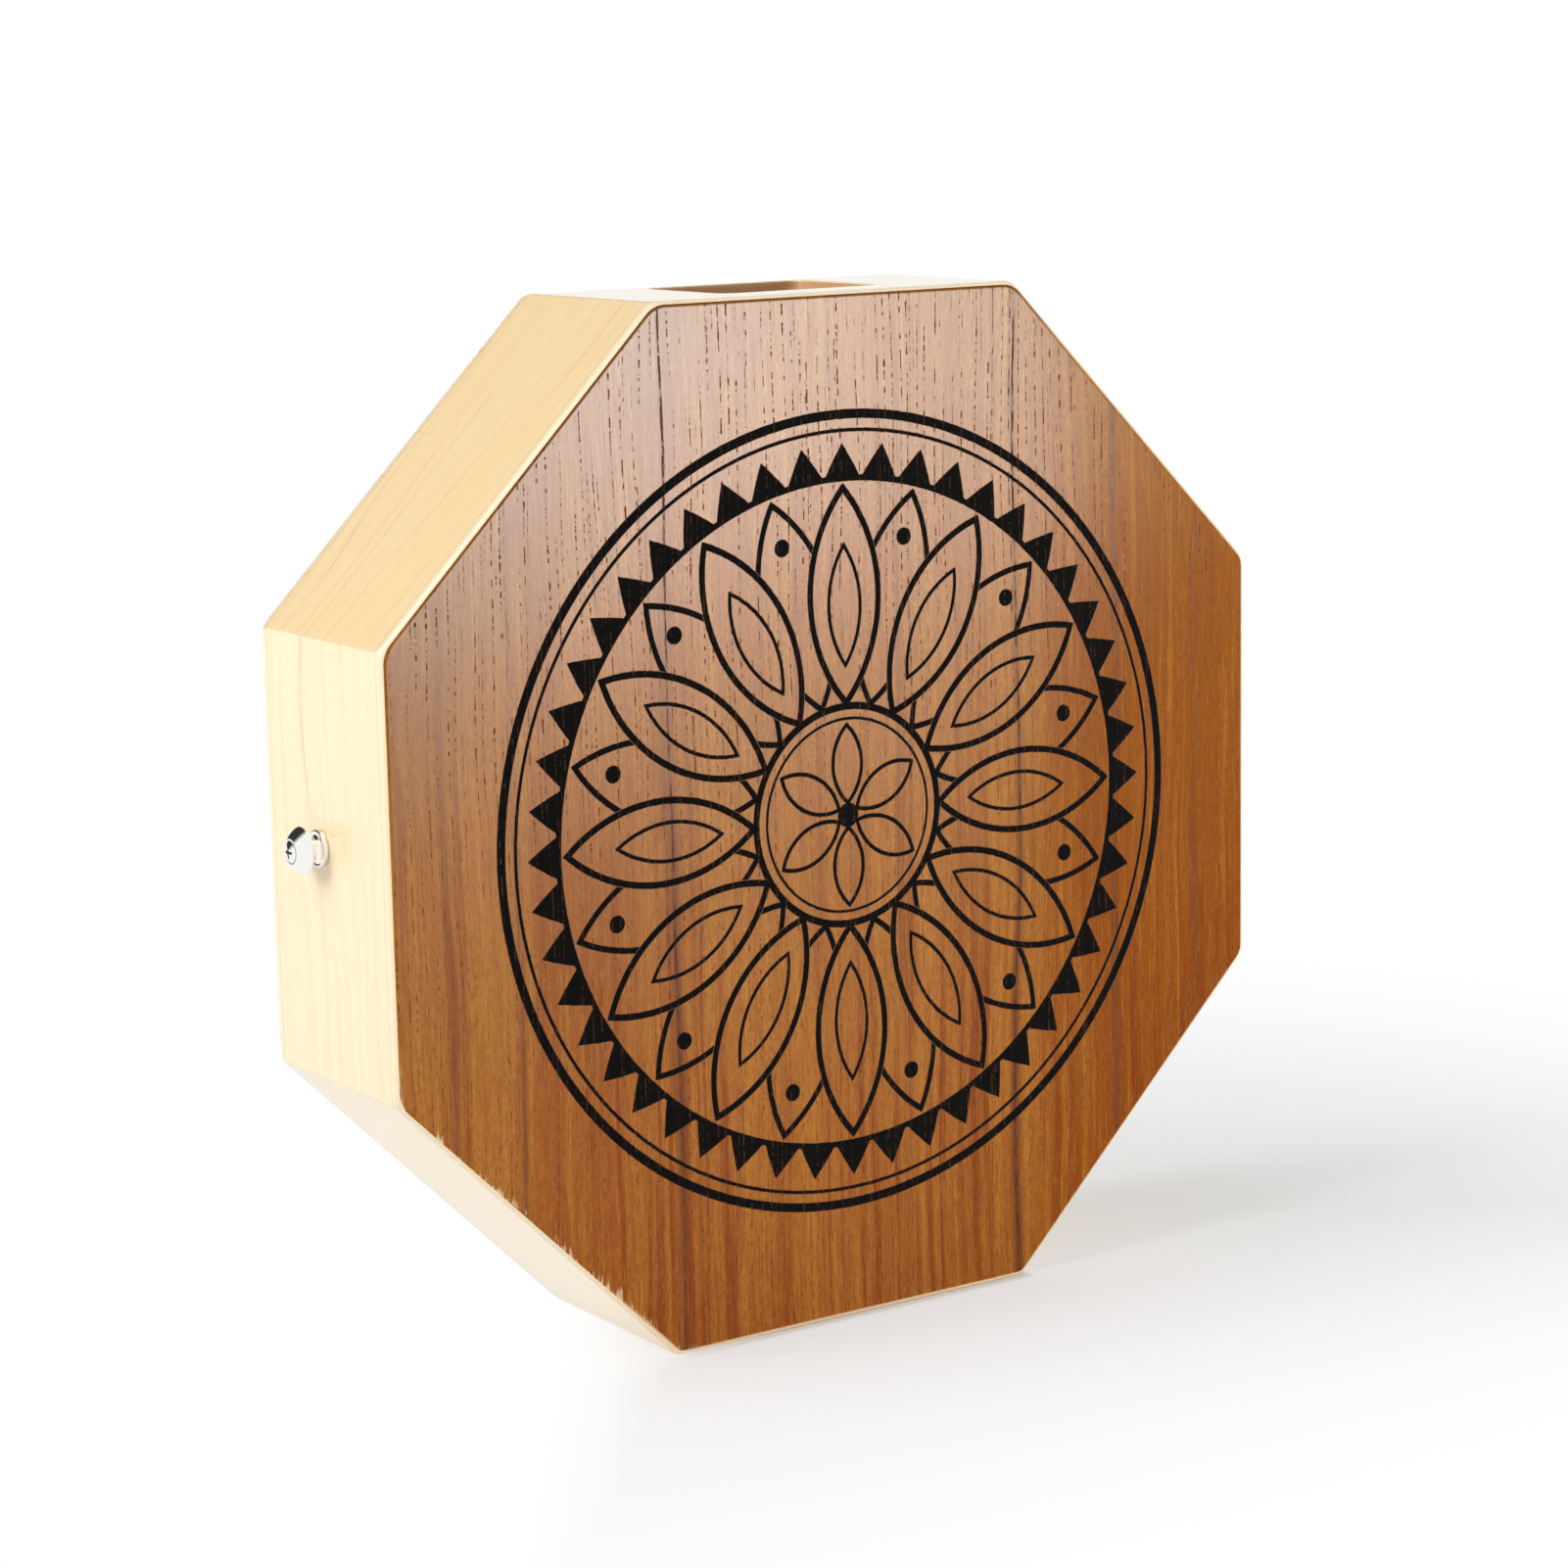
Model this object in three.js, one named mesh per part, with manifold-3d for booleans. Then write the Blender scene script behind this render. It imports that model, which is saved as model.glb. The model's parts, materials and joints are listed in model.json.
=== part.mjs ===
// Octagonal box drum: eight mitred side panels closed by a veneered front plate and a back plate,
// with a sound port in the top panel, a strap button on each side and a fixed snare inside.
// Millimetres, +Z up, the playing face towards -Y, the origin under the middle of the bottom panel.

import * as THREE from 'three';
import { mergeVertices } from 'three/addons/utils/BufferGeometryUtils.js';
import Module from 'manifold-3d';

const wasm = await Module();
wasm.setup();

// Driving dimensions of the shell
const ACROSS_FLATS = 330;
const DEPTH = 77;
const WALL = 10;
const FRONT_CORE = 3.1;
const FACE_VENEER = 0.3;
const BACK_PLATE = 4;
const GLUE_LINE = 0.15;
const MITRE_ROUND = 1.2;
const EDGE_ROUND = 2;
const FACE_CORNER_ROUND = 10;

// Sound port in the top panel, with the strips of wood left in front of it and behind it
const PORT_LENGTH = 60;
const PORT_FRONT_STRIP = 16;
const PORT_BACK_STRIP = 6.3;
const PORT_CORNER = 5;
const PORT_EDGE_ROUND = 0.4;

// Strap buttons on the left and right panels, measured from the front face and the panel's middle
const BUTTON_SETBACK = 43;
const BUTTON_RISE = 4;
const BUTTON_HEIGHT = 10;
const BUTTON_BASE_DIAMETER = 11.5;
const BUTTON_BASE_THICKNESS = 1.5;
const BUTTON_BASE_LIP = 0.9;
const BUTTON_BASE_DISH = 0.7;
const BUTTON_NECK_DIAMETER = 6.4;
const BUTTON_HEAD_DIAMETER = 14.8;
const BUTTON_HEAD_SEAT = 5.6;
const BUTTON_HEAD_RIM = 0.6;
const BUTTON_FACE_RING = 0.5;
const BUTTON_SEAT_GAP = 0.1;

// Fullness of a button head's flank: 0.5 is a straight cone, 1 a square shoulder
const BUTTON_HEAD_FULLNESS = 0.62;

// Oval-head screw that holds each strap button
const SCREW_HEAD_DIAMETER = 6.8;
const SCREW_DOME = 0.9;
const SCREW_SHANK_DIAMETER = 3.2;
const SCREW_LENGTH = 24;
const SCREW_POINT = 4;
const SCREW_CLEARANCE = 0.25;
const CROSS_SPAN = 4;
const CROSS_WIDTH = 0.9;
const CROSS_DEPTH = 1.4;

// Blocks glued inside the mitres
const CORNER_BLOCK_LEG = 18;
const CORNER_BLOCK_TOE = 2;

// Blocks that back the strap screws and carry the ends of the snare bar
const SIDE_BLOCK_THICKNESS = 14;
const SIDE_BLOCK_HEIGHT = 28;
const SIDE_BLOCK_MARGIN = 12;
const DRILL_OVERRUN = 1;

// Snare bar behind the front plate
const SNARE_BAR_SETBACK = 6;
const SNARE_BAR_DEPTH = 16;
const SNARE_BAR_HEIGHT = 16;
const SNARE_BAR_END_GAP = 0.3;

// Two sets of snare wires screwed to the bar, with the tips against the front plate
const SNARE_SPREAD = 92;
const SNARE_PLATE_WIDTH = 46;
const SNARE_PLATE_HEIGHT = 17;
const SNARE_PLATE_THICKNESS = 1;
const SNARE_PLATE_OVERLAP = 10;
const SNARE_PLATE_GAP = 0.1;
const SNARE_WIRE_COUNT = 10;
const SNARE_WIRE_DIAMETER = 1.6;
const SNARE_WIRE_MARGIN = 2.5;
const SNARE_WIRE_SEAT = 5;
const SNARE_TIP_DROP = 45;
const SNARE_TIP_GAP = 0.3;
const SNARE_SCREW_MARGIN = 8;
const SNARE_SCREW_HEAD_DIAMETER = 6;
const SNARE_SCREW_HEAD_HEIGHT = 2;
const SNARE_SCREW_SHANK_DIAMETER = 3;
const SNARE_SCREW_LENGTH = 12;

// Facet counts
const SIDES = 8;
const CORNER_STEPS = 4;
const EDGE_STEPS = 3;
const ARC_STEPS = 5;
const TURNED_SEGMENTS = 32;
const SMALL_TURNED_SEGMENTS = 16;
const WIRE_SEGMENTS = 8;

// Values worked out from the driving dimensions
const STEP = (2 * Math.PI) / SIDES;
const HALF_STEP = STEP / 2;
const APOTHEM = ACROSS_FLATS / 2;
const INNER_APOTHEM = APOTHEM - WALL;
const FRONT_Y = -DEPTH / 2;
const BACK_Y = DEPTH / 2;
const VENEER_BACK_Y = FRONT_Y + FACE_VENEER;
const CORE_BACK_Y = VENEER_BACK_Y + FRONT_CORE;
const BACK_PLATE_Y = BACK_Y - BACK_PLATE;
const PANEL_FRONT_Y = CORE_BACK_Y + GLUE_LINE;
const PANEL_BACK_Y = BACK_PLATE_Y - GLUE_LINE;
const PORT_FRONT_Y = PANEL_FRONT_Y + PORT_FRONT_STRIP;
const PORT_BACK_Y = PANEL_BACK_Y - PORT_BACK_STRIP;
const PORT_Y = (PORT_FRONT_Y + PORT_BACK_Y) / 2;
const PORT_WIDTH = PORT_BACK_Y - PORT_FRONT_Y;
const BUTTON_Y = FRONT_Y + BUTTON_SETBACK;
const BAR_FRONT_Y = CORE_BACK_Y + SNARE_BAR_SETBACK;
const BAR_BOTTOM = BUTTON_RISE + SIDE_BLOCK_HEIGHT / 2 + GLUE_LINE;
const BAR_TOP = BAR_BOTTOM + SNARE_BAR_HEIGHT;
const SCREW_BORE = SCREW_SHANK_DIAMETER / 2 + SCREW_CLEARANCE;
const SCREW_TIP = BUTTON_SEAT_GAP + BUTTON_HEIGHT - SCREW_LENGTH;

// Materials
const maple = () => new THREE.MeshStandardMaterial({ color: 0xf2dcae, roughness: 0.45, metalness: 0 });
const plainPly = () => new THREE.MeshStandardMaterial({ color: 0xf5e6c4, roughness: 0.55, metalness: 0 });
const darkVeneer = () => new THREE.MeshStandardMaterial({ color: 0xa06632, roughness: 0.38, metalness: 0 });
const rawSoftwood = () => new THREE.MeshStandardMaterial({ color: 0xd9b98a, roughness: 0.8, metalness: 0 });
const chrome = () => new THREE.MeshStandardMaterial({ color: 0xdfe1e4, roughness: 0.12, metalness: 1 });
const steel = () => new THREE.MeshStandardMaterial({ color: 0xaeb1b5, roughness: 0.35, metalness: 1 });

function namedMesh(name, geometry, material) {
  const mesh = new THREE.Mesh(geometry, material);
  mesh.name = name;
  return mesh;
}

// Closed geometry to solid, and back again after the cuts and joins
function toSolid(geometry) {
  const bare = geometry.clone();
  bare.deleteAttribute('normal');
  bare.deleteAttribute('uv');
  const merged = mergeVertices(bare);
  const vertProperties = Float32Array.from(merged.getAttribute('position').array);
  const triVerts = Uint32Array.from(merged.getIndex().array);
  return new wasm.Manifold(new wasm.Mesh({ numProp: 3, vertProperties, triVerts }));
}

function toGeometry(solid) {
  const mesh = solid.getMesh();
  const geometry = new THREE.BufferGeometry();
  geometry.setAttribute('position', new THREE.BufferAttribute(mesh.vertProperties, 3));
  geometry.setIndex(new THREE.BufferAttribute(mesh.triVerts, 1));
  geometry.computeVertexNormals();
  return geometry;
}

function cutFrom(geometry, cutters) {
  let solid = toSolid(geometry);
  for (const cutter of cutters) {
    solid = solid.subtract(toSolid(cutter));
  }
  return toGeometry(solid);
}

function joinTo(geometry, additions) {
  let solid = toSolid(geometry);
  for (const addition of additions) {
    solid = solid.add(toSolid(addition));
  }
  return toGeometry(solid);
}

// Closed skin over rings of equal point count, each end closed by a fan about the ring's middle
function loftGeometry(rings) {
  const count = rings[0].length;
  const positions = rings.flat().flatMap((point) => point.toArray());
  const triangles = [];
  for (let ring = 0; ring + 1 < rings.length; ring += 1) {
    for (let i = 0; i < count; i += 1) {
      const next = (i + 1) % count;
      const low = ring * count;
      const high = low + count;
      triangles.push(low + i, low + next, high + next);
      triangles.push(low + i, high + next, high + i);
    }
  }
  const lastRing = (rings.length - 1) * count;
  for (const [start, points, flipped] of [[0, rings[0], true], [lastRing, rings.at(-1), false]]) {
    const middle = new THREE.Vector3();
    points.forEach((point) => middle.addScaledVector(point, 1 / count));
    const centre = positions.length / 3;
    positions.push(...middle.toArray());
    for (let i = 0; i < count; i += 1) {
      const here = start + i;
      const next = start + ((i + 1) % count);
      triangles.push(centre, flipped ? next : here, flipped ? here : next);
    }
  }
  const geometry = new THREE.BufferGeometry();
  geometry.setAttribute('position', new THREE.Float32BufferAttribute(positions, 3));
  geometry.setIndex(triangles);
  geometry.computeVertexNormals();
  return geometry;
}

// Octagon outline across the drum, set in from the flats, with rounded corners
function octagonRing(inset, cornerRound, y) {
  const reach = (APOTHEM - inset - cornerRound) / Math.cos(HALF_STEP);
  const points = [];
  for (let corner = 0; corner < SIDES; corner += 1) {
    const middle = (corner + 0.5) * STEP;
    for (let i = 0; i <= CORNER_STEPS; i += 1) {
      const turn = middle + HALF_STEP * ((2 * i) / CORNER_STEPS - 1);
      const x = reach * Math.sin(middle) + cornerRound * Math.sin(turn);
      const z = reach * Math.cos(middle) + cornerRound * Math.cos(turn);
      points.push(new THREE.Vector3(x, y, z));
    }
  }
  return points;
}

// Rolled edge between the outer face of a plate and its glued face: the outline draws in towards the
// outer face, and its corners grow rounder all the way from the mitres at the glued face
function rolledRing(roll, faceY, gluedY) {
  const inset = EDGE_ROUND * (1 - Math.cos(roll));
  const drop = EDGE_ROUND * (1 - Math.sin(roll));
  const share = drop / Math.abs(gluedY - faceY);
  const cornerRound = FACE_CORNER_ROUND + (MITRE_ROUND - FACE_CORNER_ROUND) * share;
  return octagonRing(inset, cornerRound, faceY + Math.sign(gluedY - faceY) * drop);
}

function rolledRings(fromRoll, toRoll, faceY, gluedY) {
  const rings = [];
  for (let i = 0; i <= EDGE_STEPS; i += 1) {
    rings.push(rolledRing(fromRoll + (toRoll - fromRoll) * (i / EDGE_STEPS), faceY, gluedY));
  }
  return rings;
}

const FULL_ROLL = Math.PI / 2;
const VENEER_ROLL = Math.asin(1 - FACE_VENEER / EDGE_ROUND);

function frontCore() {
  const glued = octagonRing(0, MITRE_ROUND, CORE_BACK_Y);
  return loftGeometry([...rolledRings(VENEER_ROLL, 0, FRONT_Y, CORE_BACK_Y), glued]);
}

function frontVeneer() {
  return loftGeometry(rolledRings(FULL_ROLL, VENEER_ROLL, FRONT_Y, CORE_BACK_Y));
}

function backPlate() {
  const glued = octagonRing(0, MITRE_ROUND, BACK_PLATE_Y);
  return loftGeometry([glued, ...rolledRings(0, FULL_ROLL, BACK_Y, BACK_PLATE_Y)]);
}

// Extrudes an outline drawn in x and z along y, from the back to the front
function extrudeAlongDepth(shape, frontY, backY) {
  const geometry = new THREE.ExtrudeGeometry(shape, {
    depth: backY - frontY,
    bevelEnabled: false,
    curveSegments: ARC_STEPS,
  });
  geometry.rotateX(Math.PI / 2);
  geometry.translate(0, backY, 0);
  return geometry;
}

// Side panel, drawn as the top one: flat outer face, eased corners, mitred ends, flat inner face
function sidePanel() {
  const tangent = Math.tan(HALF_STEP);
  const setback = GLUE_LINE / 2;
  const arcHeight = APOTHEM - MITRE_ROUND;
  const arcMiddle = arcHeight * tangent;
  const arcEnd = Math.PI / 2 - HALF_STEP + Math.asin(setback / MITRE_ROUND);
  const innerHalf = INNER_APOTHEM * tangent - setback / Math.cos(HALF_STEP);
  const shape = new THREE.Shape();
  shape.moveTo(-innerHalf, INNER_APOTHEM);
  shape.lineTo(innerHalf, INNER_APOTHEM);
  shape.absarc(arcMiddle, arcHeight, MITRE_ROUND, arcEnd, Math.PI / 2, false);
  shape.absarc(-arcMiddle, arcHeight, MITRE_ROUND, Math.PI / 2, Math.PI - arcEnd, false);
  shape.closePath();
  return extrudeAlongDepth(shape, PANEL_FRONT_Y, PANEL_BACK_Y);
}

// Rounded rectangle lying flat at one height
function portRing(grow, z) {
  const corner = PORT_CORNER + grow;
  const halfLength = PORT_LENGTH / 2 + grow - corner;
  const halfWidth = PORT_WIDTH / 2 + grow - corner;
  const points = [];
  for (const [sideX, sideY, start] of [[1, 1, 0], [-1, 1, 1], [-1, -1, 2], [1, -1, 3]]) {
    for (let i = 0; i <= ARC_STEPS; i += 1) {
      const turn = (start + i / ARC_STEPS) * (Math.PI / 2);
      const x = sideX * halfLength + corner * Math.cos(turn);
      const y = PORT_Y + sideY * halfWidth + corner * Math.sin(turn);
      points.push(new THREE.Vector3(x, y, z));
    }
  }
  return points;
}

// Cutter for the sound port, flared where the panel's edges are eased inside and out
function portCutter() {
  const rings = [portRing(PORT_EDGE_ROUND, INNER_APOTHEM - PORT_EDGE_ROUND)];
  for (let i = EDGE_STEPS; i >= 0; i -= 1) {
    const roll = FULL_ROLL * (i / EDGE_STEPS);
    const z = INNER_APOTHEM + PORT_EDGE_ROUND * (1 - Math.sin(roll));
    rings.push(portRing(PORT_EDGE_ROUND * (1 - Math.cos(roll)), z));
  }
  for (let i = 0; i <= EDGE_STEPS; i += 1) {
    const roll = FULL_ROLL * (i / EDGE_STEPS);
    const z = APOTHEM - PORT_EDGE_ROUND * (1 - Math.sin(roll));
    rings.push(portRing(PORT_EDGE_ROUND * (1 - Math.cos(roll)), z));
  }
  rings.push(portRing(PORT_EDGE_ROUND, APOTHEM + PORT_EDGE_ROUND));
  return loftGeometry(rings);
}

// Round bar along z between two heights
function uprightCylinder(radius, lowZ, highZ, x, y) {
  const geometry = new THREE.CylinderGeometry(radius, radius, highZ - lowZ, SMALL_TURNED_SEGMENTS);
  geometry.rotateX(Math.PI / 2);
  geometry.translate(x, y, (lowZ + highZ) / 2);
  return geometry;
}

// Drilling for a strap screw, in the frame of the panel that it goes through
function strapDrilling(rise) {
  const low = APOTHEM + SCREW_TIP - DRILL_OVERRUN;
  return uprightCylinder(SCREW_BORE, low, APOTHEM + DRILL_OVERRUN, rise, BUTTON_Y);
}

// Turned piece whose profile is drawn as radius and height, standing along z
function turned(profile, segments) {
  const geometry = new THREE.LatheGeometry(profile.getPoints(ARC_STEPS), segments);
  geometry.rotateX(Math.PI / 2);
  return geometry;
}

// Strap button: dished base with a rounded lip, waisted neck, thin-rimmed head, countersunk bore
function strapButton() {
  const base = BUTTON_BASE_DIAMETER / 2;
  const lip = BUTTON_BASE_LIP / 2;
  const dish = BUTTON_BASE_THICKNESS - BUTTON_BASE_DISH;
  const neck = BUTTON_NECK_DIAMETER / 2;
  const waist = (BUTTON_BASE_THICKNESS + BUTTON_HEAD_SEAT) / 2;
  const seat = BUTTON_HEAD_DIAMETER / 2 - BUTTON_HEAD_RIM;
  const rimHeight = BUTTON_HEAD_SEAT + BUTTON_HEAD_RIM;
  const sink = SCREW_HEAD_DIAMETER / 2 + SCREW_CLEARANCE;
  const face = sink + BUTTON_FACE_RING;
  const flank = face + BUTTON_HEAD_FULLNESS * (seat + BUTTON_HEAD_RIM - face);
  const flankHeight = rimHeight + BUTTON_HEAD_FULLNESS * (BUTTON_HEIGHT - rimHeight);
  const profile = new THREE.Path();
  profile.moveTo(SCREW_BORE, 0);
  profile.lineTo(base, 0);
  profile.absarc(base - lip, BUTTON_BASE_THICKNESS - lip, lip, 0, 0.75 * Math.PI, false);
  profile.quadraticCurveTo(neck, dish, neck, waist);
  profile.quadraticCurveTo(neck, BUTTON_HEAD_SEAT, seat, BUTTON_HEAD_SEAT);
  profile.absarc(seat, rimHeight, BUTTON_HEAD_RIM, -Math.PI / 2, Math.PI / 6, false);
  profile.quadraticCurveTo(flank, flankHeight, face, BUTTON_HEIGHT);
  profile.lineTo(sink, BUTTON_HEIGHT);
  profile.lineTo(SCREW_BORE, BUTTON_HEIGHT - (sink - SCREW_BORE));
  profile.lineTo(SCREW_BORE, 0);
  return turned(profile, TURNED_SEGMENTS).translate(0, 0, BUTTON_SEAT_GAP);
}

// Strap screw: pointed shank, countersunk cone and domed head with a cross recess
function strapScrew() {
  const shank = SCREW_SHANK_DIAMETER / 2;
  const head = SCREW_HEAD_DIAMETER / 2;
  const rim = BUTTON_SEAT_GAP + BUTTON_HEIGHT;
  const crown = rim + SCREW_DOME;
  const profile = new THREE.Path();
  profile.moveTo(0, SCREW_TIP);
  profile.lineTo(shank, SCREW_TIP + SCREW_POINT);
  profile.lineTo(shank, rim - (head - shank));
  profile.lineTo(head, rim);
  profile.quadraticCurveTo(head / 2, crown, 0, crown);
  const bars = [[CROSS_SPAN, CROSS_WIDTH], [CROSS_WIDTH, CROSS_SPAN]].map(([lengthX, lengthY]) => {
    const bar = new THREE.BoxGeometry(lengthX, lengthY, 2 * CROSS_DEPTH);
    return bar.translate(0, 0, crown);
  });
  return cutFrom(turned(profile, SMALL_TURNED_SEGMENTS), bars);
}

// Block behind a strap screw, in the panel's frame: x runs up or down the panel, z points out
function sideBlock(rise) {
  const top = INNER_APOTHEM - GLUE_LINE;
  const depth = BUTTON_Y + SIDE_BLOCK_MARGIN - BAR_FRONT_Y;
  const block = new THREE.BoxGeometry(SIDE_BLOCK_HEIGHT, depth, SIDE_BLOCK_THICKNESS);
  block.translate(rise, BAR_FRONT_Y + depth / 2, top - SIDE_BLOCK_THICKNESS / 2);
  return cutFrom(block, [strapDrilling(rise)]);
}

// Corner block, drawn with the mitre straight up: two glued legs, blunt toes and a flat inner face
function cornerBlock() {
  const corner = (INNER_APOTHEM - GLUE_LINE) / Math.cos(HALF_STEP);
  const legX = CORNER_BLOCK_LEG * Math.cos(HALF_STEP);
  const legZ = corner - CORNER_BLOCK_LEG * Math.sin(HALF_STEP);
  const toeX = legX - CORNER_BLOCK_TOE * Math.sin(HALF_STEP);
  const toeZ = legZ - CORNER_BLOCK_TOE * Math.cos(HALF_STEP);
  const shape = new THREE.Shape();
  shape.moveTo(0, corner);
  shape.lineTo(-legX, legZ);
  shape.lineTo(-toeX, toeZ);
  shape.lineTo(toeX, toeZ);
  shape.lineTo(legX, legZ);
  shape.closePath();
  return extrudeAlongDepth(shape, PANEL_FRONT_Y, PANEL_BACK_Y);
}

// Places of the snare screws along the bar, and their height at the middle of the plates' hold
const SNARE_MIDDLES = [['left', -SNARE_SPREAD / 2], ['right', SNARE_SPREAD / 2]];
const SNARE_SCREW_OFFSET = SNARE_PLATE_WIDTH / 2 - SNARE_SCREW_MARGIN;
const SNARE_SCREW_OFFSETS = [-SNARE_SCREW_OFFSET, SNARE_SCREW_OFFSET];
const SNARE_SCREW_Z = BAR_TOP - SNARE_PLATE_OVERLAP / 2;
const SNARE_SCREW_BORE = SNARE_SCREW_SHANK_DIAMETER / 2 + SCREW_CLEARANCE;

// Bar across the drum on the two side blocks, with a blind hole for each snare screw
function snareBar() {
  const length = 2 * (INNER_APOTHEM - SNARE_BAR_END_GAP);
  const bar = new THREE.BoxGeometry(length, SNARE_BAR_DEPTH, SNARE_BAR_HEIGHT);
  bar.translate(0, BAR_FRONT_Y + SNARE_BAR_DEPTH / 2, (BAR_BOTTOM + BAR_TOP) / 2);
  const holes = SNARE_MIDDLES.flatMap(([, middle]) => SNARE_SCREW_OFFSETS.map((offset) => {
    const hole = new THREE.CylinderGeometry(
      SNARE_SCREW_BORE, SNARE_SCREW_BORE, 2 * SNARE_SCREW_LENGTH, SMALL_TURNED_SEGMENTS,
    );
    return hole.translate(middle + offset, BAR_FRONT_Y, SNARE_SCREW_Z);
  }));
  return cutFrom(bar, holes);
}

// One set: a flat plate on the front of the bar and straight wires leaning against the front plate
function snareSet(middle) {
  const plateBackY = BAR_FRONT_Y - SNARE_PLATE_GAP;
  const plateFrontY = plateBackY - SNARE_PLATE_THICKNESS;
  const plateLow = BAR_TOP - SNARE_PLATE_OVERLAP;
  const plateTop = plateLow + SNARE_PLATE_HEIGHT;
  const half = SNARE_PLATE_WIDTH / 2;
  const shape = new THREE.Shape();
  shape.moveTo(-half, plateLow);
  shape.lineTo(half, plateLow);
  shape.lineTo(half, plateTop);
  shape.lineTo(-half, plateTop);
  shape.closePath();
  for (const offset of SNARE_SCREW_OFFSETS) {
    const hole = new THREE.Path();
    hole.absarc(offset, SNARE_SCREW_Z, SNARE_SCREW_BORE, 0, 2 * Math.PI, true);
    shape.holes.push(hole);
  }
  const plate = extrudeAlongDepth(shape, plateFrontY, plateBackY);

  const radius = SNARE_WIRE_DIAMETER / 2;
  const foot = new THREE.Vector3(0, plateFrontY, plateTop - SNARE_WIRE_SEAT);
  const tip = new THREE.Vector3(0, CORE_BACK_Y + SNARE_TIP_GAP + radius, INNER_APOTHEM - SNARE_TIP_DROP);
  const along = tip.clone().sub(foot);
  const lean = Math.atan2(-along.y, along.z);
  const wireSpan = SNARE_PLATE_WIDTH - 2 * SNARE_WIRE_MARGIN;
  const wires = [];
  for (let i = 0; i < SNARE_WIRE_COUNT; i += 1) {
    const wire = new THREE.CylinderGeometry(radius, radius, along.length(), WIRE_SEGMENTS);
    wire.rotateX(Math.PI / 2 + lean);
    const x = wireSpan * (i / (SNARE_WIRE_COUNT - 1) - 0.5);
    wire.translate(x, (foot.y + tip.y) / 2, (foot.z + tip.z) / 2);
    wires.push(wire);
  }
  return joinTo(plate, wires).translate(middle, 0, 0);
}

// Pan-head screw, pointing back into the bar
function snareScrew(x) {
  const shank = SNARE_SCREW_SHANK_DIAMETER / 2;
  const head = SNARE_SCREW_HEAD_DIAMETER / 2;
  const reach = SNARE_SCREW_LENGTH - DRILL_OVERRUN;
  const profile = new THREE.Path();
  profile.moveTo(0, -reach);
  profile.lineTo(shank, shank - reach);
  profile.lineTo(shank, 0);
  profile.lineTo(head, 0);
  profile.quadraticCurveTo(head, SNARE_SCREW_HEAD_HEIGHT, 0, SNARE_SCREW_HEAD_HEIGHT);
  const screw = turned(profile, SMALL_TURNED_SEGMENTS);
  screw.rotateX(Math.PI / 2);
  const underHeadY = BAR_FRONT_Y - 2 * SNARE_PLATE_GAP - SNARE_PLATE_THICKNESS;
  return screw.translate(x, underHeadY, SNARE_SCREW_Z);
}

// Side panels with what they carry, each in a group turned about the middle of the octagon
function facetGroup(index, panelName) {
  const facet = new THREE.Group();
  facet.rotation.y = index * STEP;
  const side = { panel_right: 'right', panel_left: 'left' }[panelName];
  if (panelName === 'panel_top') {
    facet.add(namedMesh(panelName, cutFrom(sidePanel(), [portCutter()]), maple()));
  } else if (side) {
    const rise = side === 'left' ? BUTTON_RISE : -BUTTON_RISE;
    facet.add(namedMesh(panelName, cutFrom(sidePanel(), [strapDrilling(rise)]), maple()));
    facet.add(namedMesh(`side_block_${side}`, sideBlock(rise), rawSoftwood()));
    const fitting = new THREE.Group();
    fitting.position.set(rise, BUTTON_Y, APOTHEM);
    fitting.add(namedMesh(`strap_button_${side}`, strapButton(), chrome()));
    fitting.add(namedMesh(`strap_screw_${side}`, strapScrew(), chrome()));
    facet.add(fitting);
  } else {
    facet.add(namedMesh(panelName, sidePanel(), maple()));
  }
  return facet;
}

// Names run clockwise as seen from the front, from the top panel and from the mitre on its right
const PANEL_NAMES = [
  'panel_top', 'panel_top_right', 'panel_right', 'panel_bottom_right',
  'panel_bottom', 'panel_bottom_left', 'panel_left', 'panel_top_left',
];

const drum = new THREE.Group();
drum.position.z = APOTHEM;

PANEL_NAMES.forEach((panelName, index) => {
  drum.add(facetGroup(index, panelName));
  const mitre = new THREE.Group();
  mitre.rotation.y = (index + 0.5) * STEP;
  mitre.add(namedMesh(`corner_block_${index + 1}`, cornerBlock(), rawSoftwood()));
  drum.add(mitre);
});

drum.add(namedMesh('front_plate', frontCore(), plainPly()));
drum.add(namedMesh('front_veneer', frontVeneer(), darkVeneer()));
drum.add(namedMesh('back_plate', backPlate(), maple()));
drum.add(namedMesh('snare_bar', snareBar(), rawSoftwood()));

SNARE_MIDDLES.forEach(([side, middle]) => {
  drum.add(namedMesh(`snare_wires_${side}`, snareSet(middle), steel()));
  SNARE_SCREW_OFFSETS.forEach((offset, index) => {
    drum.add(namedMesh(`snare_screw_${side}_${index + 1}`, snareScrew(middle + offset), steel()));
  });
});

export default drum;
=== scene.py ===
# Looks of the octagonal box drum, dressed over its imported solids.
# Metres, +Z up, +X to the right along the playing face, the playing face towards -Y.
import json
import math

import bmesh
import bpy
from mathutils import Matrix, Quaternion, Vector

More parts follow.
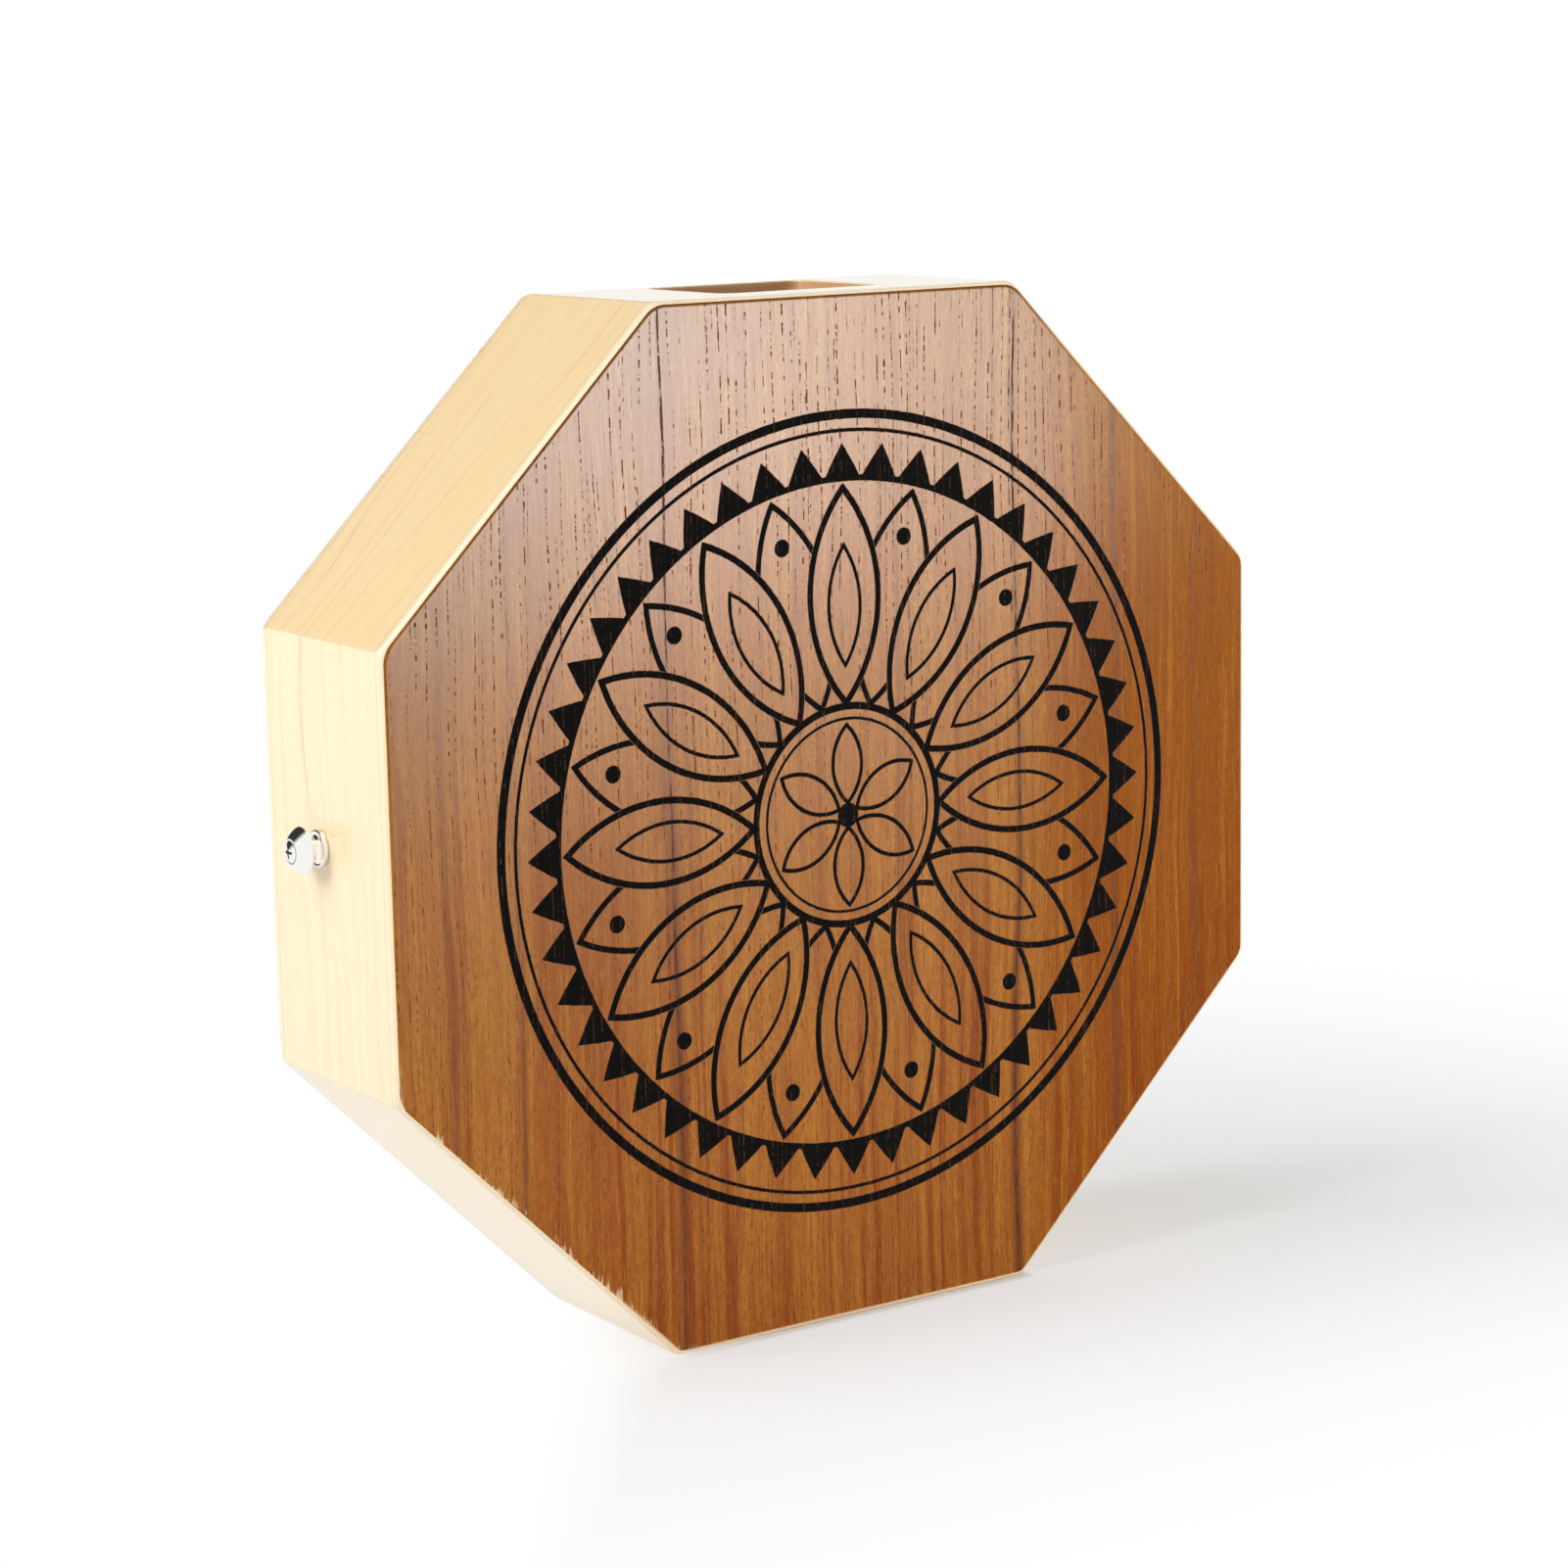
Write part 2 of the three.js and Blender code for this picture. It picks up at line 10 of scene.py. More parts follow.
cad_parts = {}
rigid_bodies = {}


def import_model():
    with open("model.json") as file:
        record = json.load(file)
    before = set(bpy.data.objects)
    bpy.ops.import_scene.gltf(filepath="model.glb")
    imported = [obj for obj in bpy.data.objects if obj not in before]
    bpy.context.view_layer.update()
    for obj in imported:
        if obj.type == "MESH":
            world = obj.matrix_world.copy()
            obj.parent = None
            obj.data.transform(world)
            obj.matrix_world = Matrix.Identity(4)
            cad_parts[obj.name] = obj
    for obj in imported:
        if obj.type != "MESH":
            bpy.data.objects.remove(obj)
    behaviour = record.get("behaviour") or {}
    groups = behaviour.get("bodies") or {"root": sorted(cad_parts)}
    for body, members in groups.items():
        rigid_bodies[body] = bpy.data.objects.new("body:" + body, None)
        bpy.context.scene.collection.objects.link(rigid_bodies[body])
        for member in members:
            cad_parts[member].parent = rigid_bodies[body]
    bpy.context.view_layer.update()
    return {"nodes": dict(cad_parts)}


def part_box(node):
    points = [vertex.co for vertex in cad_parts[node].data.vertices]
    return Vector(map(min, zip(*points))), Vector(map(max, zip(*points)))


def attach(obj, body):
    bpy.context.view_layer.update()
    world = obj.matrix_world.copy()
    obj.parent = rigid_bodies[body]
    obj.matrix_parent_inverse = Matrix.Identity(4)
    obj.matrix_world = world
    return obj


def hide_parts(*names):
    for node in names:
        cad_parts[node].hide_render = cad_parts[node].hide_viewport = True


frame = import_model()

MM = 0.001

# Sizes taken from the solids
plate_low, plate_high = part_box("front_plate")
veneer_low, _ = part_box("front_veneer")
back_low, back_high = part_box("back_plate")
panel_low, panel_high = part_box("panel_top")
APOTHEM = (plate_high.z - plate_low.z) / 2
CENTRE_Z = (plate_high.z + plate_low.z) / 2
INNER_APOTHEM = panel_low.z - CENTRE_Z
FRONT_Y = veneer_low.y
VENEER_BACK_Y = plate_low.y
CORE_BACK_Y = plate_high.y
PANEL_FRONT_Y = panel_low.y
PANEL_BACK_Y = panel_high.y
BACK_PLATE_Y = back_low.y
BACK_Y = back_high.y

# Sizes shared with the solids' source
MITRE_ROUND = 1.2 * MM
EDGE_ROUND = 2 * MM
FACE_CORNER_ROUND = 10 * MM
PORT_LENGTH = 60 * MM
PORT_FRONT_STRIP = 16 * MM
PORT_BACK_STRIP = 6.3 * MM
PORT_CORNER = 5 * MM
PORT_EDGE_ROUND = 0.4 * MM
BUTTON_RISE = 4 * MM
BUTTON_HEIGHT = 10 * MM
BUTTON_BASE_RADIUS = 5.75 * MM
BUTTON_BASE_THICKNESS = 1.5 * MM
BUTTON_BASE_LIP = 0.9 * MM
BUTTON_BASE_DISH = 0.7 * MM
BUTTON_NECK_RADIUS = 3.2 * MM
BUTTON_HEAD_RADIUS = 7.4 * MM
BUTTON_HEAD_SEAT = 5.6 * MM
BUTTON_HEAD_RIM = 0.6 * MM
BUTTON_FACE_RING = 0.5 * MM
BUTTON_SEAT_GAP = 0.1 * MM
BUTTON_HEAD_FULLNESS = 0.62
SCREW_HEAD_RADIUS = 3.4 * MM
SCREW_DOME = 0.9 * MM
SCREW_SHANK_RADIUS = 1.6 * MM
SCREW_LENGTH = 24 * MM
SCREW_POINT = 4 * MM
SCREW_CLEARANCE = 0.25 * MM
CROSS_SPAN = 4 * MM
CROSS_WIDTH = 0.9 * MM
CROSS_DEPTH = 1.4 * MM

# How finely curved surfaces are stepped
SIDES = 8
CORNER_STEPS = 12
EDGE_STEPS = 8
PORT_STEPS = 12
HOLE_SEGMENTS = 24
CURVE_STEPS = 10
TURNED_SEGMENTS = 92
SHARP_ANGLE = math.radians(35)

# Small sizes of the finished pieces alone
FLAT_BORDER = 0.6 * MM
FINE_BEVEL = 0.12 * MM
FINE_BEVEL_STEPS = 2
MITRE_GAP = 0.03 * MM
WELD_DISTANCE = 0.001 * MM

FULL_TURN = 2 * math.pi
QUARTER_TURN = math.pi / 2
STEP = FULL_TURN / SIDES
HALF_STEP = STEP / 2
VENEER_ROLL = math.asin(1 - (VENEER_BACK_Y - FRONT_Y) / EDGE_ROUND)
PANEL_NAMES = (
    "panel_top", "panel_top_right", "panel_right", "panel_bottom_right",
    "panel_bottom", "panel_bottom_left", "panel_left", "panel_top_left",
)

# How far the grain is shifted from one panel to the next, so that no two look alike
GRAIN_OFFSET = 0.37

# Camera of the photograph
CAMERA_PLACE = Vector((-0.69907, -1.03388, 0.39778))
CAMERA_AIM = Vector((-0.0243, -0.0385, 0.1779))
CAMERA_ROLL = math.radians(-1.155)
CAMERA_LENS = 89.69
CAMERA_SENSOR = 36


# Shader arithmetic
class Wire:
    """One number in a shader, with arithmetic that adds the nodes for it."""

    def __init__(self, tree, socket):
        self.tree = tree
        self.socket = socket

    def math(self, operation, *others):
        node = self.tree.nodes.new("ShaderNodeMath")
        node.operation = operation
        for value, entry in zip((self, *others), node.inputs):
            plug(self.tree, value, entry)
        return Wire(self.tree, node.outputs[0])

    def __add__(self, other):
        return self.math("ADD", other)

    def __sub__(self, other):
        return self.math("SUBTRACT", other)

    def __mul__(self, other):
        return self.math("MULTIPLY", other)

    def __truediv__(self, other):
        return self.math("DIVIDE", other)

    def absolute(self):
        return self.math("ABSOLUTE")

    def inverse(self):
        return (self * -1) + 1


def plug(tree, value, entry):
    """Feeds a wire, a number or a colour to a node's socket."""
    if isinstance(value, Wire):
        tree.links.new(value.socket, entry)
    else:
        entry.default_value = value


def largest(first, *others):
    """The largest of a number of wires."""
    for other in others:
        first = first.math("MAXIMUM", other)
    return first


def rgb(red, green, blue):
    """A colour given as it looks on screen, 0 to 255, turned into linear light."""
    linear = []
    for level in (red, green, blue):
        share = level / 255
        linear.append(share / 12.92 if share <= 0.04045 else ((share + 0.055) / 1.055) ** 2.4)
    return (*linear, 1)


class Shader:
    """A material in the making, with the pattern nodes that feed its main shader."""

    def __init__(self, name):
        self.material = bpy.data.materials.new(name)
        self.material.use_nodes = True
        self.tree = self.material.node_tree
        self.surface = self.tree.nodes["Principled BSDF"]

    def place(self, attribute=None):
        """Three wires in millimetres: the piece's own coordinates, or a named attribute of its mesh."""
        if attribute:
            source = self.tree.nodes.new("ShaderNodeAttribute")
            source.attribute_name = attribute
            vector = source.outputs["Vector"]
        else:
            source = self.tree.nodes.new("ShaderNodeTexCoord")
            vector = source.outputs["Object"]
        split = self.tree.nodes.new("ShaderNodeSeparateXYZ")
        self.tree.links.new(vector, split.inputs[0])
        return [Wire(self.tree, output) / MM for output in split.outputs]

    def noise(self, x, y, z, detail=2.0, rough=0.5):
        """Smooth noise from 0 to 1, one lump to a unit of each wire."""
        join = self.tree.nodes.new("ShaderNodeCombineXYZ")
        for value, entry in zip((x, y, z), join.inputs):
            plug(self.tree, value, entry)
        node = self.tree.nodes.new("ShaderNodeTexNoise")
        self.tree.links.new(join.outputs[0], node.inputs["Vector"])
        node.inputs["Scale"].default_value = 1
        node.inputs["Detail"].default_value = detail
        node.inputs["Roughness"].default_value = rough
        return Wire(self.tree, node.outputs["Fac"])

    def rise(self, value, low, high):
        """0 below low, 1 above high, with a smooth slope between."""
        node = self.tree.nodes.new("ShaderNodeMapRange")
        node.interpolation_type = "SMOOTHSTEP"
        plug(self.tree, value, node.inputs["Value"])
        plug(self.tree, low, node.inputs["From Min"])
        plug(self.tree, high, node.inputs["From Max"])
        return Wire(self.tree, node.outputs["Result"])

    def tint(self, share, first, second):
        """The first colour where the share is 0, the second where it is 1."""
        node = self.tree.nodes.new("ShaderNodeMix")
        node.data_type = "RGBA"
        sockets = {socket.identifier: socket for socket in (*node.inputs, *node.outputs)}
        plug(self.tree, share, sockets["Factor_Float"])
        plug(self.tree, first, sockets["A_Color"])
        plug(self.tree, second, sockets["B_Color"])
        return Wire(self.tree, sockets["Result_Color"])

    def feed(self, **values):
        """Sets the main shader's sockets by name, with underscores for spaces."""
        for name, value in values.items():
            plug(self.tree, value, self.surface.inputs[name.replace("_", " ")])

    def bump(self, height, depth, strength=1.0):
        """Relief from a wire that runs from 0 to 1, with its full depth in metres."""
        node = self.tree.nodes.new("ShaderNodeBump")
        node.inputs["Strength"].default_value = strength
        node.inputs["Distance"].default_value = depth
        plug(self.tree, height, node.inputs["Height"])
        self.tree.links.new(node.outputs["Normal"], self.surface.inputs["Normal"])


# Materials
def maple_material(name, light, dark):
    """Pale straight-grained wood under clear lacquer, with the grain along each panel."""
    shader = Shader(name)
    along, across, out = shader.place("grain")
    sway = shader.noise(along / 190, across / 26, out / 26, detail=1) * 36
    waver = shader.noise(along / 60, across / 9, out / 9, detail=1) * 2
    rings = (across + sway + waver) / 9
    spread = (rings - rings.math("ROUND")).absolute()
    fibre = shader.noise(across / 0.35, along / 14, out / 0.35, detail=3)
    cloud = shader.noise(along / 70, across / 22, out / 22)
    strength = shader.rise(shader.noise(along / 70, across / 7, out / 7), 0.42, 0.68)
    line = shader.rise(spread, 0.008, 0.04).inverse() * strength
    late = shader.rise(spread, 0.0, 0.45).inverse()
    fleck = shader.rise(shader.noise(across / 0.7, along / 6, out / 0.7), 0.66, 0.74)
    tone = shader.tint(cloud, light, dark)
    tone = shader.tint(late * 0.15, tone, rgb(238, 200, 146))
    tone = shader.tint(line * 0.5, tone, rgb(208, 168, 112))
    tone = shader.tint(shader.rise(fibre, 0.5, 0.8) * 0.2, tone, rgb(232, 194, 144))
    tone = shader.tint(fleck * 0.25, tone, rgb(214, 170, 118))
    shader.feed(Base_Color=tone, Roughness=fibre * 0.1 + 0.3, Coat_Weight=1.0, Coat_Roughness=0.12)
    shader.bump(fibre, 0.02 * MM)
    return shader.material


def port_wall_material():
    """Sawn plies on the walls of the sound port, browner than the maple partly as painted shade, and
    lacquered.
    """
    shader = Shader("port_wall")
    along, across, out = shader.place("grain")
    ply = shader.noise(out / 1.6, along / 80, across / 80, detail=1)
    fibre = shader.noise(out / 0.3, along / 2, across / 2, detail=3)
    # Partly painted shade: the plies are browner than the maple, for the shade inside the port.
    tone = shader.tint(shader.rise(ply, 0.4, 0.6), rgb(236, 190, 138), rgb(224, 170, 118))
    tone = shader.tint(fibre * 0.4, tone, rgb(206, 150, 100))
    shader.feed(Base_Color=tone, Roughness=fibre * 0.2 + 0.3)
    shader.bump(fibre, 0.05 * MM)
    return shader.material


PLY_GLUE_DEPTH = 2.2  # from the playing face, in millimetres


def ply_material():
    """Pale plywood core of the front plate, with a line of glue between plies round its edge."""
    shader = Shader("ply_core")
    x, y, z = shader.place()
    depth = y - FRONT_Y / MM
    fibre = shader.noise(x / 1.5, depth / 0.2, z / 1.5, detail=3)
    glue = shader.rise((depth - PLY_GLUE_DEPTH).absolute(), 0.05, 0.2).inverse()
    tone = shader.tint(fibre, rgb(251, 234, 200), rgb(247, 220, 176))
    tone = shader.tint(glue * 0.3, tone, rgb(216, 178, 126))
    shader.feed(Base_Color=tone, Roughness=fibre * 0.15 + 0.3, Coat_Weight=1.0, Coat_Roughness=0.3)
    shader.bump(fibre, 0.02 * MM)
    return shader.material


# Printed rosette on the playing face, in millimetres from its middle
INK_SOFTNESS = 0.18
ROSETTE_PETALS = 12
ROSETTE_RINGS = ((127, 3), (122, 1.2), (107, 2), (35, 2.4), (31, 1))  # radius and line width
TEETH_PER_PETAL = 4
TOOTH_FOOT = 107
TOOTH_HEIGHT = 11
TOOTH_SLOPE = 0.6
PETAL = (36, 104, 13)  # inner radius, outer radius and half width
PETAL_LINE = 2.2
REAR_PETAL_LINE = 2
REAR_PETAL_GAP = (1, 1.3)
ECHO = (48, 86, 6)
ECHO_LINE = 1.3
DOT_PLACE = 90
DOT_RADIUS = 2.8
FLOWER_PETALS = 6
FLOWER = (4, 29, 5.5)
FLOWER_LINE = 1.4
BUD_RADIUS = 4


def stroke(shader, distance, width):
    """A line of the given width where the distance is nought."""
    edge = distance.absolute()
    return shader.rise(edge, width / 2 - INK_SOFTNESS, width / 2 + INK_SOFTNESS).inverse()


def filled(shader, distance):
    """Ink where the distance is below nought."""
    return shader.rise(distance, -INK_SOFTNESS, INK_SOFTNESS).inverse()


def sector(radius, turn, count, shift):
    """Distances along and aside of the nearest of a number of equal spokes."""
    spokes = turn * (count / FULL_TURN) + shift
    angle = (spokes - spokes.math("ROUND")) * (FULL_TURN / count)
    along = radius * angle.math("COSINE")
    aside = (radius * angle.math("SINE")).absolute()
    return along, aside


def petal(along, aside, inner, outer, half_width):
    """Signed distance to a pointed petal made of two arcs between two radii on a spoke."""
    half_length = (outer - inner) / 2
    arc = (half_length ** 2 + half_width ** 2) / (2 * half_width)
    reach = along - (inner + outer) / 2
    offset = aside + (arc - half_width)
    return (reach * reach + offset * offset).math("SQRT") - arc


def rosette(shader, x, z):
    """Share of ink: rings, a toothed band, two layers of petals, dots and a small inner flower."""
    radius = (x * x + z * z).math("SQRT")
    turn = x.math("ARCTAN2", z)
    along, aside = sector(radius, turn, ROSETTE_PETALS, 0)
    along_between, aside_between = sector(radius, turn, ROSETTE_PETALS, 0.5)

    rings = [stroke(shader, radius - ring, width) for ring, width in ROSETTE_RINGS]
    teeth_turn = turn * (TEETH_PER_PETAL * ROSETTE_PETALS / FULL_TURN)
    slant = (teeth_turn - teeth_turn.math("ROUND")).absolute() * 2
    tooth_top = slant.inverse() * TOOTH_HEIGHT + TOOTH_FOOT
    above_foot = shader.rise(radius, TOOTH_FOOT - 1, TOOTH_FOOT)
    teeth = filled(shader, (radius - tooth_top) * TOOTH_SLOPE) * above_foot

    front = petal(along, aside, *PETAL)
    echo = petal(along, aside, *ECHO)
    behind = petal(along_between, aside_between, *PETAL)
    open_space = shader.rise(front, *REAR_PETAL_GAP)
    dot_reach = along_between - DOT_PLACE
    dot = (dot_reach * dot_reach + aside_between * aside_between).math("SQRT") - DOT_RADIUS
    flower = petal(*sector(radius, turn, FLOWER_PETALS, 0), *FLOWER)
    bud = radius - BUD_RADIUS
    return largest(
        *rings, teeth, stroke(shader, front, PETAL_LINE), stroke(shader, echo, ECHO_LINE),
        stroke(shader, behind, REAR_PETAL_LINE) * open_space, filled(shader, dot),
        stroke(shader, flower, FLOWER_LINE), filled(shader, bud),
    )


# Dark stripes in the face veneer: place across it, half width and strength
VENEER_STRIPES = (
    (-146, 2, 0.3), (-122, 2, 0.4), (-66, 2.4, 0.75), (21, 1.6, 0.2),
    (68, 1.8, 1), (107, 2, 0.55), (143, 2, 0.3),
)


def pores(shader, grain, along, pitch, half_width, length, rarity):
    """Open pores: specks strung along columns a pitch apart, with whole columns missing."""
    ragged = grain + shader.noise(along / 0.9, grain / 0.6, 0, detail=1) * 0.5
    columns = ragged / pitch
    index = columns.math("FLOOR")
    offset = (shader.noise(index * 3.7, 0, 0, detail=0) - 0.5) * 1.5
    reach = (columns - index - 0.5 - offset).absolute() * pitch
    crowd = shader.rise(shader.noise(index * 1.3, along / 70, 0, detail=1), rarity, rarity + 0.15)
    speck = shader.rise(shader.noise(index * 5.3, along / length, 0, detail=4, rough=0.7), 0.47, 0.56)
    width = shader.noise(index * 2.9, along / length / 2, 0, detail=1) * half_width * 2
    return shader.rise(reach, width * 0.3, width * 1.4).inverse() * speck * crowd


def veneer_ground(shader, x, y, z, grain, fibre):
    """Browns of the veneer: broad changes over the face, painted shade at its upper left, then streaks,
    fibres and mottling.
    """
    broad = shader.noise(grain / 16, y, z / 420, detail=3)
    streak = shader.noise(grain / 2.6, y, z / 130, detail=3)
    mottle = shader.noise(grain / 0.5, y, z / 2.2, detail=3, rough=0.6)
    outer = shader.rise(grain + broad * 30, 80, 108) * (shader.rise(z, 50, 120) * -0.6 + 1)
    band = shader.rise((grain + 102).absolute(), 8, 28).inverse() * shader.rise(z, -20, 45).inverse()
    ruddy = shader.rise(z * -1, -60, 110)
    lower = largest(shader.rise(x - z, 130, 240) * 0.45, shader.rise(z * -1, 100, 160) * 0.3)
    dark = shader.tint(ruddy, rgb(138, 80, 16), rgb(132, 58, 8))

    tone = shader.tint(shader.rise(broad, 0.3, 0.7), rgb(174, 112, 38), rgb(162, 97, 28))
    tone = shader.tint(largest(outer * 0.9, band * 0.6), tone, rgb(147, 76, 3))
    tone = shader.tint(shader.rise(z, 60, 160) * 0.5, tone, rgb(152, 106, 36))
    # Painted shade: the upper left of the face is darkened, where the sheen falls strongest.
    tone = shader.tint(shader.rise(z - x, 150, 230) * 0.4, tone, rgb(120, 78, 20))
    tone = shader.tint(ruddy * 0.2, tone, rgb(172, 94, 52))
    tone = shader.tint(lower, tone, rgb(140, 74, 16))
    tone = shader.tint(shader.rise(streak, 0.48, 0.7) * (ruddy * 0.3 + 0.55), tone, dark)
    tone = shader.tint(shader.rise(streak, 0.3, 0.46).inverse() * 0.4, tone, rgb(188, 128, 42))
    tone = shader.tint(shader.rise(fibre, 0.48, 0.72) * 0.4, tone, dark)
    tone = shader.tint(shader.rise(fibre, 0.28, 0.44).inverse() * 0.3, tone, rgb(194, 138, 56))
    tone = shader.tint(shader.rise(mottle, 0.48, 0.7) * 0.5, tone, dark)
    return shader.tint(shader.rise(mottle, 0.3, 0.46).inverse() * 0.18, tone, rgb(202, 148, 66))


def veneer_stripes(shader, tone, x, y, z, grain):
    """Dark stripes, each with a broken split along its middle; returns the tone and the splits."""
    waver = shader.noise(x / 40, y, z / 60)
    broken = shader.rise(shader.noise(grain / 1.2, y, z / 6, detail=4, rough=0.7), 0.4, 0.54)
    deep = shader.rise(z * -1, -60, 60) * 0.35 + 0.45
    splits = []
    for place, half_width, strength in VENEER_STRIPES:
        reach = (grain - place).absolute() / half_width
        stripe = shader.rise(reach, waver * 0.2, waver + 1).inverse()
        tone = shader.tint(stripe * strength * deep, tone, rgb(100, 50, 26))
        splits.append(shader.rise(reach, 0.07, waver * 0.3 + 0.2).inverse() * broken * strength)
    split = largest(*splits)
    return shader.tint(split * 0.85, tone, rgb(72, 32, 16)), split


def veneer_pores(shader, tone, z, grain):
    """Long ruddy threads and two sizes of open pores; returns the tone and the pores."""
    thread = pores(shader, grain + 90, z, pitch=13, half_width=0.25, length=30, rarity=0.45)
    tone = shader.tint(thread * 0.6, tone, rgb(124, 48, 16))
    fine = pores(shader, grain, z, pitch=1.7, half_width=0.16, length=1.6, rarity=0.5)
    coarse = pores(shader, grain + 40, z, pitch=3.4, half_width=0.26, length=2.8, rarity=0.38)
    pore = largest(fine, coarse)
    return shader.tint(pore * (shader.rise(z, -20, 110) * 0.35 + 0.65), tone, rgb(92, 44, 16)), pore


def veneer_rim(shader, tone, x, y, z):
    """Edge of the veneer: splintered at the lower left, sanded at foot and right, with painted shade along
    the top.
    """
    slope = x.absolute() + z.absolute()
    edge = (largest(x.absolute(), z.absolute(), slope * math.sqrt(0.5)) * -1) + APOTHEM / MM
    torn = shader.noise(x / 0.7, y, z / 60) * 12 - 5.2
    frayed = shader.rise(shader.noise(x / 14, y, z / 14), 0.4, 0.6) * shader.rise((x + z) * -1, 205, 225)
    splinter = shader.rise(torn - edge, -0.8, 1) * frayed
    worn = largest(shader.rise(z * -1, 130, 160), shader.rise(x, 60, 90))
    sanded = shader.rise(edge, 1.2, 1.8).inverse() * worn
    tone = shader.tint(largest(splinter * 0.8, sanded * 0.8), tone, rgb(240, 210, 164))
    # Painted shade: the rolled edge along the top is darkened, as it catches none of the sheen.
    top_edge_shade = shader.rise(edge, 1.2, 2.2).inverse() * shader.rise(z, 60, 120) * sanded.inverse()
    return shader.tint(top_edge_shade * 0.6, tone, rgb(92, 46, 12))


def veneer_material():
    """Warm brown open-pored veneer with upright grain, a printed rosette and satin lacquer."""
    shader = Shader("face_veneer")
    x, y, height = shader.place()
    z = height - CENTRE_Z / MM
    sway = shader.noise(x / 55, y, z / 170) * 12 - 6
    grain = x + sway
    fibre = shader.noise(grain / 0.5, y, z / 12, detail=2)
    tone = veneer_ground(shader, x, y, z, grain, fibre)
    tone, split = veneer_stripes(shader, tone, x, y, z, grain)
    tone, pore = veneer_pores(shader, tone, z, grain)
    tone = veneer_rim(shader, tone, x, y, z)

    wobble = shader.noise(x / 1.2, y, z / 1.2) * 0.3 - 0.15
    ink = rosette(shader, x + wobble, z + wobble) * (pore * 0.25).inverse()
    tone = shader.tint(ink, tone, rgb(3, 2, 1))
    gloss = fibre * 0.06 + 0.235 - shader.rise(x, 20, 130) * 0.12
    shader.feed(Base_Color=tone, Roughness=largest(ink, pore, split, gloss), Specular_IOR_Level=0.05)
    shader.bump(fibre, 0.01 * MM)
    return shader.material


def softwood_material():
    """Raw planed softwood of the blocks and the bar inside."""
    shader = Shader("softwood")
    x, y, z = shader.place()
    ring = shader.noise(x / 3, y / 40, z / 3, detail=2)
    fibre = shader.noise(x / 0.4, y / 9, z / 0.4, detail=3)
    tone = shader.tint(shader.rise(ring, 0.4, 0.65), rgb(222, 190, 142), rgb(196, 152, 100))
    tone = shader.tint(fibre * 0.4, tone, rgb(178, 134, 86))
    shader.feed(Base_Color=tone, Roughness=fibre * 0.2 + 0.65)
    shader.bump(fibre, 0.06 * MM)
    return shader.material


def chrome_material():
    """Bright plating with faint polishing marks."""
    shader = Shader("chrome")
    x, y, z = shader.place()
    haze = shader.noise(x / 3, y / 3, z / 3, detail=4)
    scratch = shader.rise(shader.noise(x / 0.6, y / 0.05, z / 0.6), 0.66, 0.8)
    tone = shader.tint(haze, rgb(250, 249, 247), rgb(241, 240, 237))
    shader.feed(Base_Color=tone, Metallic=1.0, Roughness=haze * 0.05 + scratch * 0.05 + 0.03)
    return shader.material


def recess_material():
    """Duller plating down in a screw's cross recess, darkened further as painted shade."""
    shader = Shader("recess")
    x, y, z = shader.place()
    haze = shader.noise(x / 0.5, y / 0.5, z / 0.5, detail=3)
    # Painted shade: the dark base stands in for the shade down in the recess.
    tone = shader.tint(haze, rgb(96, 92, 88), rgb(64, 60, 58))
    shader.feed(Base_Color=tone, Metallic=1.0, Roughness=haze * 0.2 + 0.35)
    return shader.material


STRAND_PITCH = 0.9  # one turn of a snare strand, in millimetres


def steel_material():
    """Bright drawn wire and pressed sheet, with the fine turns of the snare strands."""
    shader = Shader("steel")
    x, y, z = shader.place()
    haze = shader.noise(x / 4, y / 4, z / 4, detail=3)
    turns = (z * (FULL_TURN / STRAND_PITCH)).math("SINE") * 0.5 + 0.5
    tone = shader.tint(haze, rgb(186, 189, 194), rgb(158, 161, 166))
    shader.feed(Base_Color=tone, Metallic=1.0, Roughness=haze * 0.2 + 0.25)
    shader.bump(turns, 0.1 * MM, 0.6)
    return shader.material


MAPLE = maple_material("maple", rgb(254, 230, 181), rgb(252, 221, 168))
# Painted light: the paler copy, partly a paler board, also stands in for the strong light on the side
# panels and the back plate; the warmer copy stands in for floor bounce light on the bottom facets.
PALE_AND_PAINTED_LIGHT_MAPLE = maple_material("maple_pale_and_painted_light", rgb(249, 228, 191), rgb(247, 220, 177))
PAINTED_BOUNCE_MAPLE = maple_material("maple_painted_bounce", rgb(254, 228, 164), rgb(251, 218, 150))
PANEL_WOODS = {
    "panel_left": PALE_AND_PAINTED_LIGHT_MAPLE,
    "panel_right": PALE_AND_PAINTED_LIGHT_MAPLE,
    "panel_bottom_left": PAINTED_BOUNCE_MAPLE,
    "panel_bottom_right": PAINTED_BOUNCE_MAPLE,
}
PORT_WALL = port_wall_material()
PLY = ply_material()
VENEER = veneer_material()
SOFTWOOD = softwood_material()
CHROME = chrome_material()
RECESS = recess_material()
STEEL = steel_material()


# Pieces
def add_piece(node, bm, slot, *materials):
    """Makes a finished piece from a bmesh, riding on the drum in place of its solid."""
    bmesh.ops.recalc_face_normals(bm, faces=bm.faces)
    mesh = bpy.data.meshes.new(f"{node}_finished")
    bm.to_mesh(mesh)
    bm.free()
    mesh.shade_smooth()
    mesh.set_sharp_from_angle(angle=SHARP_ANGLE)
    for material in materials:
        mesh.materials.append(material)
    piece = bpy.data.objects.new(mesh.name, mesh)
    bpy.context.scene.collection.objects.link(piece)
    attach(piece, "root")
    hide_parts(node)
    return piece


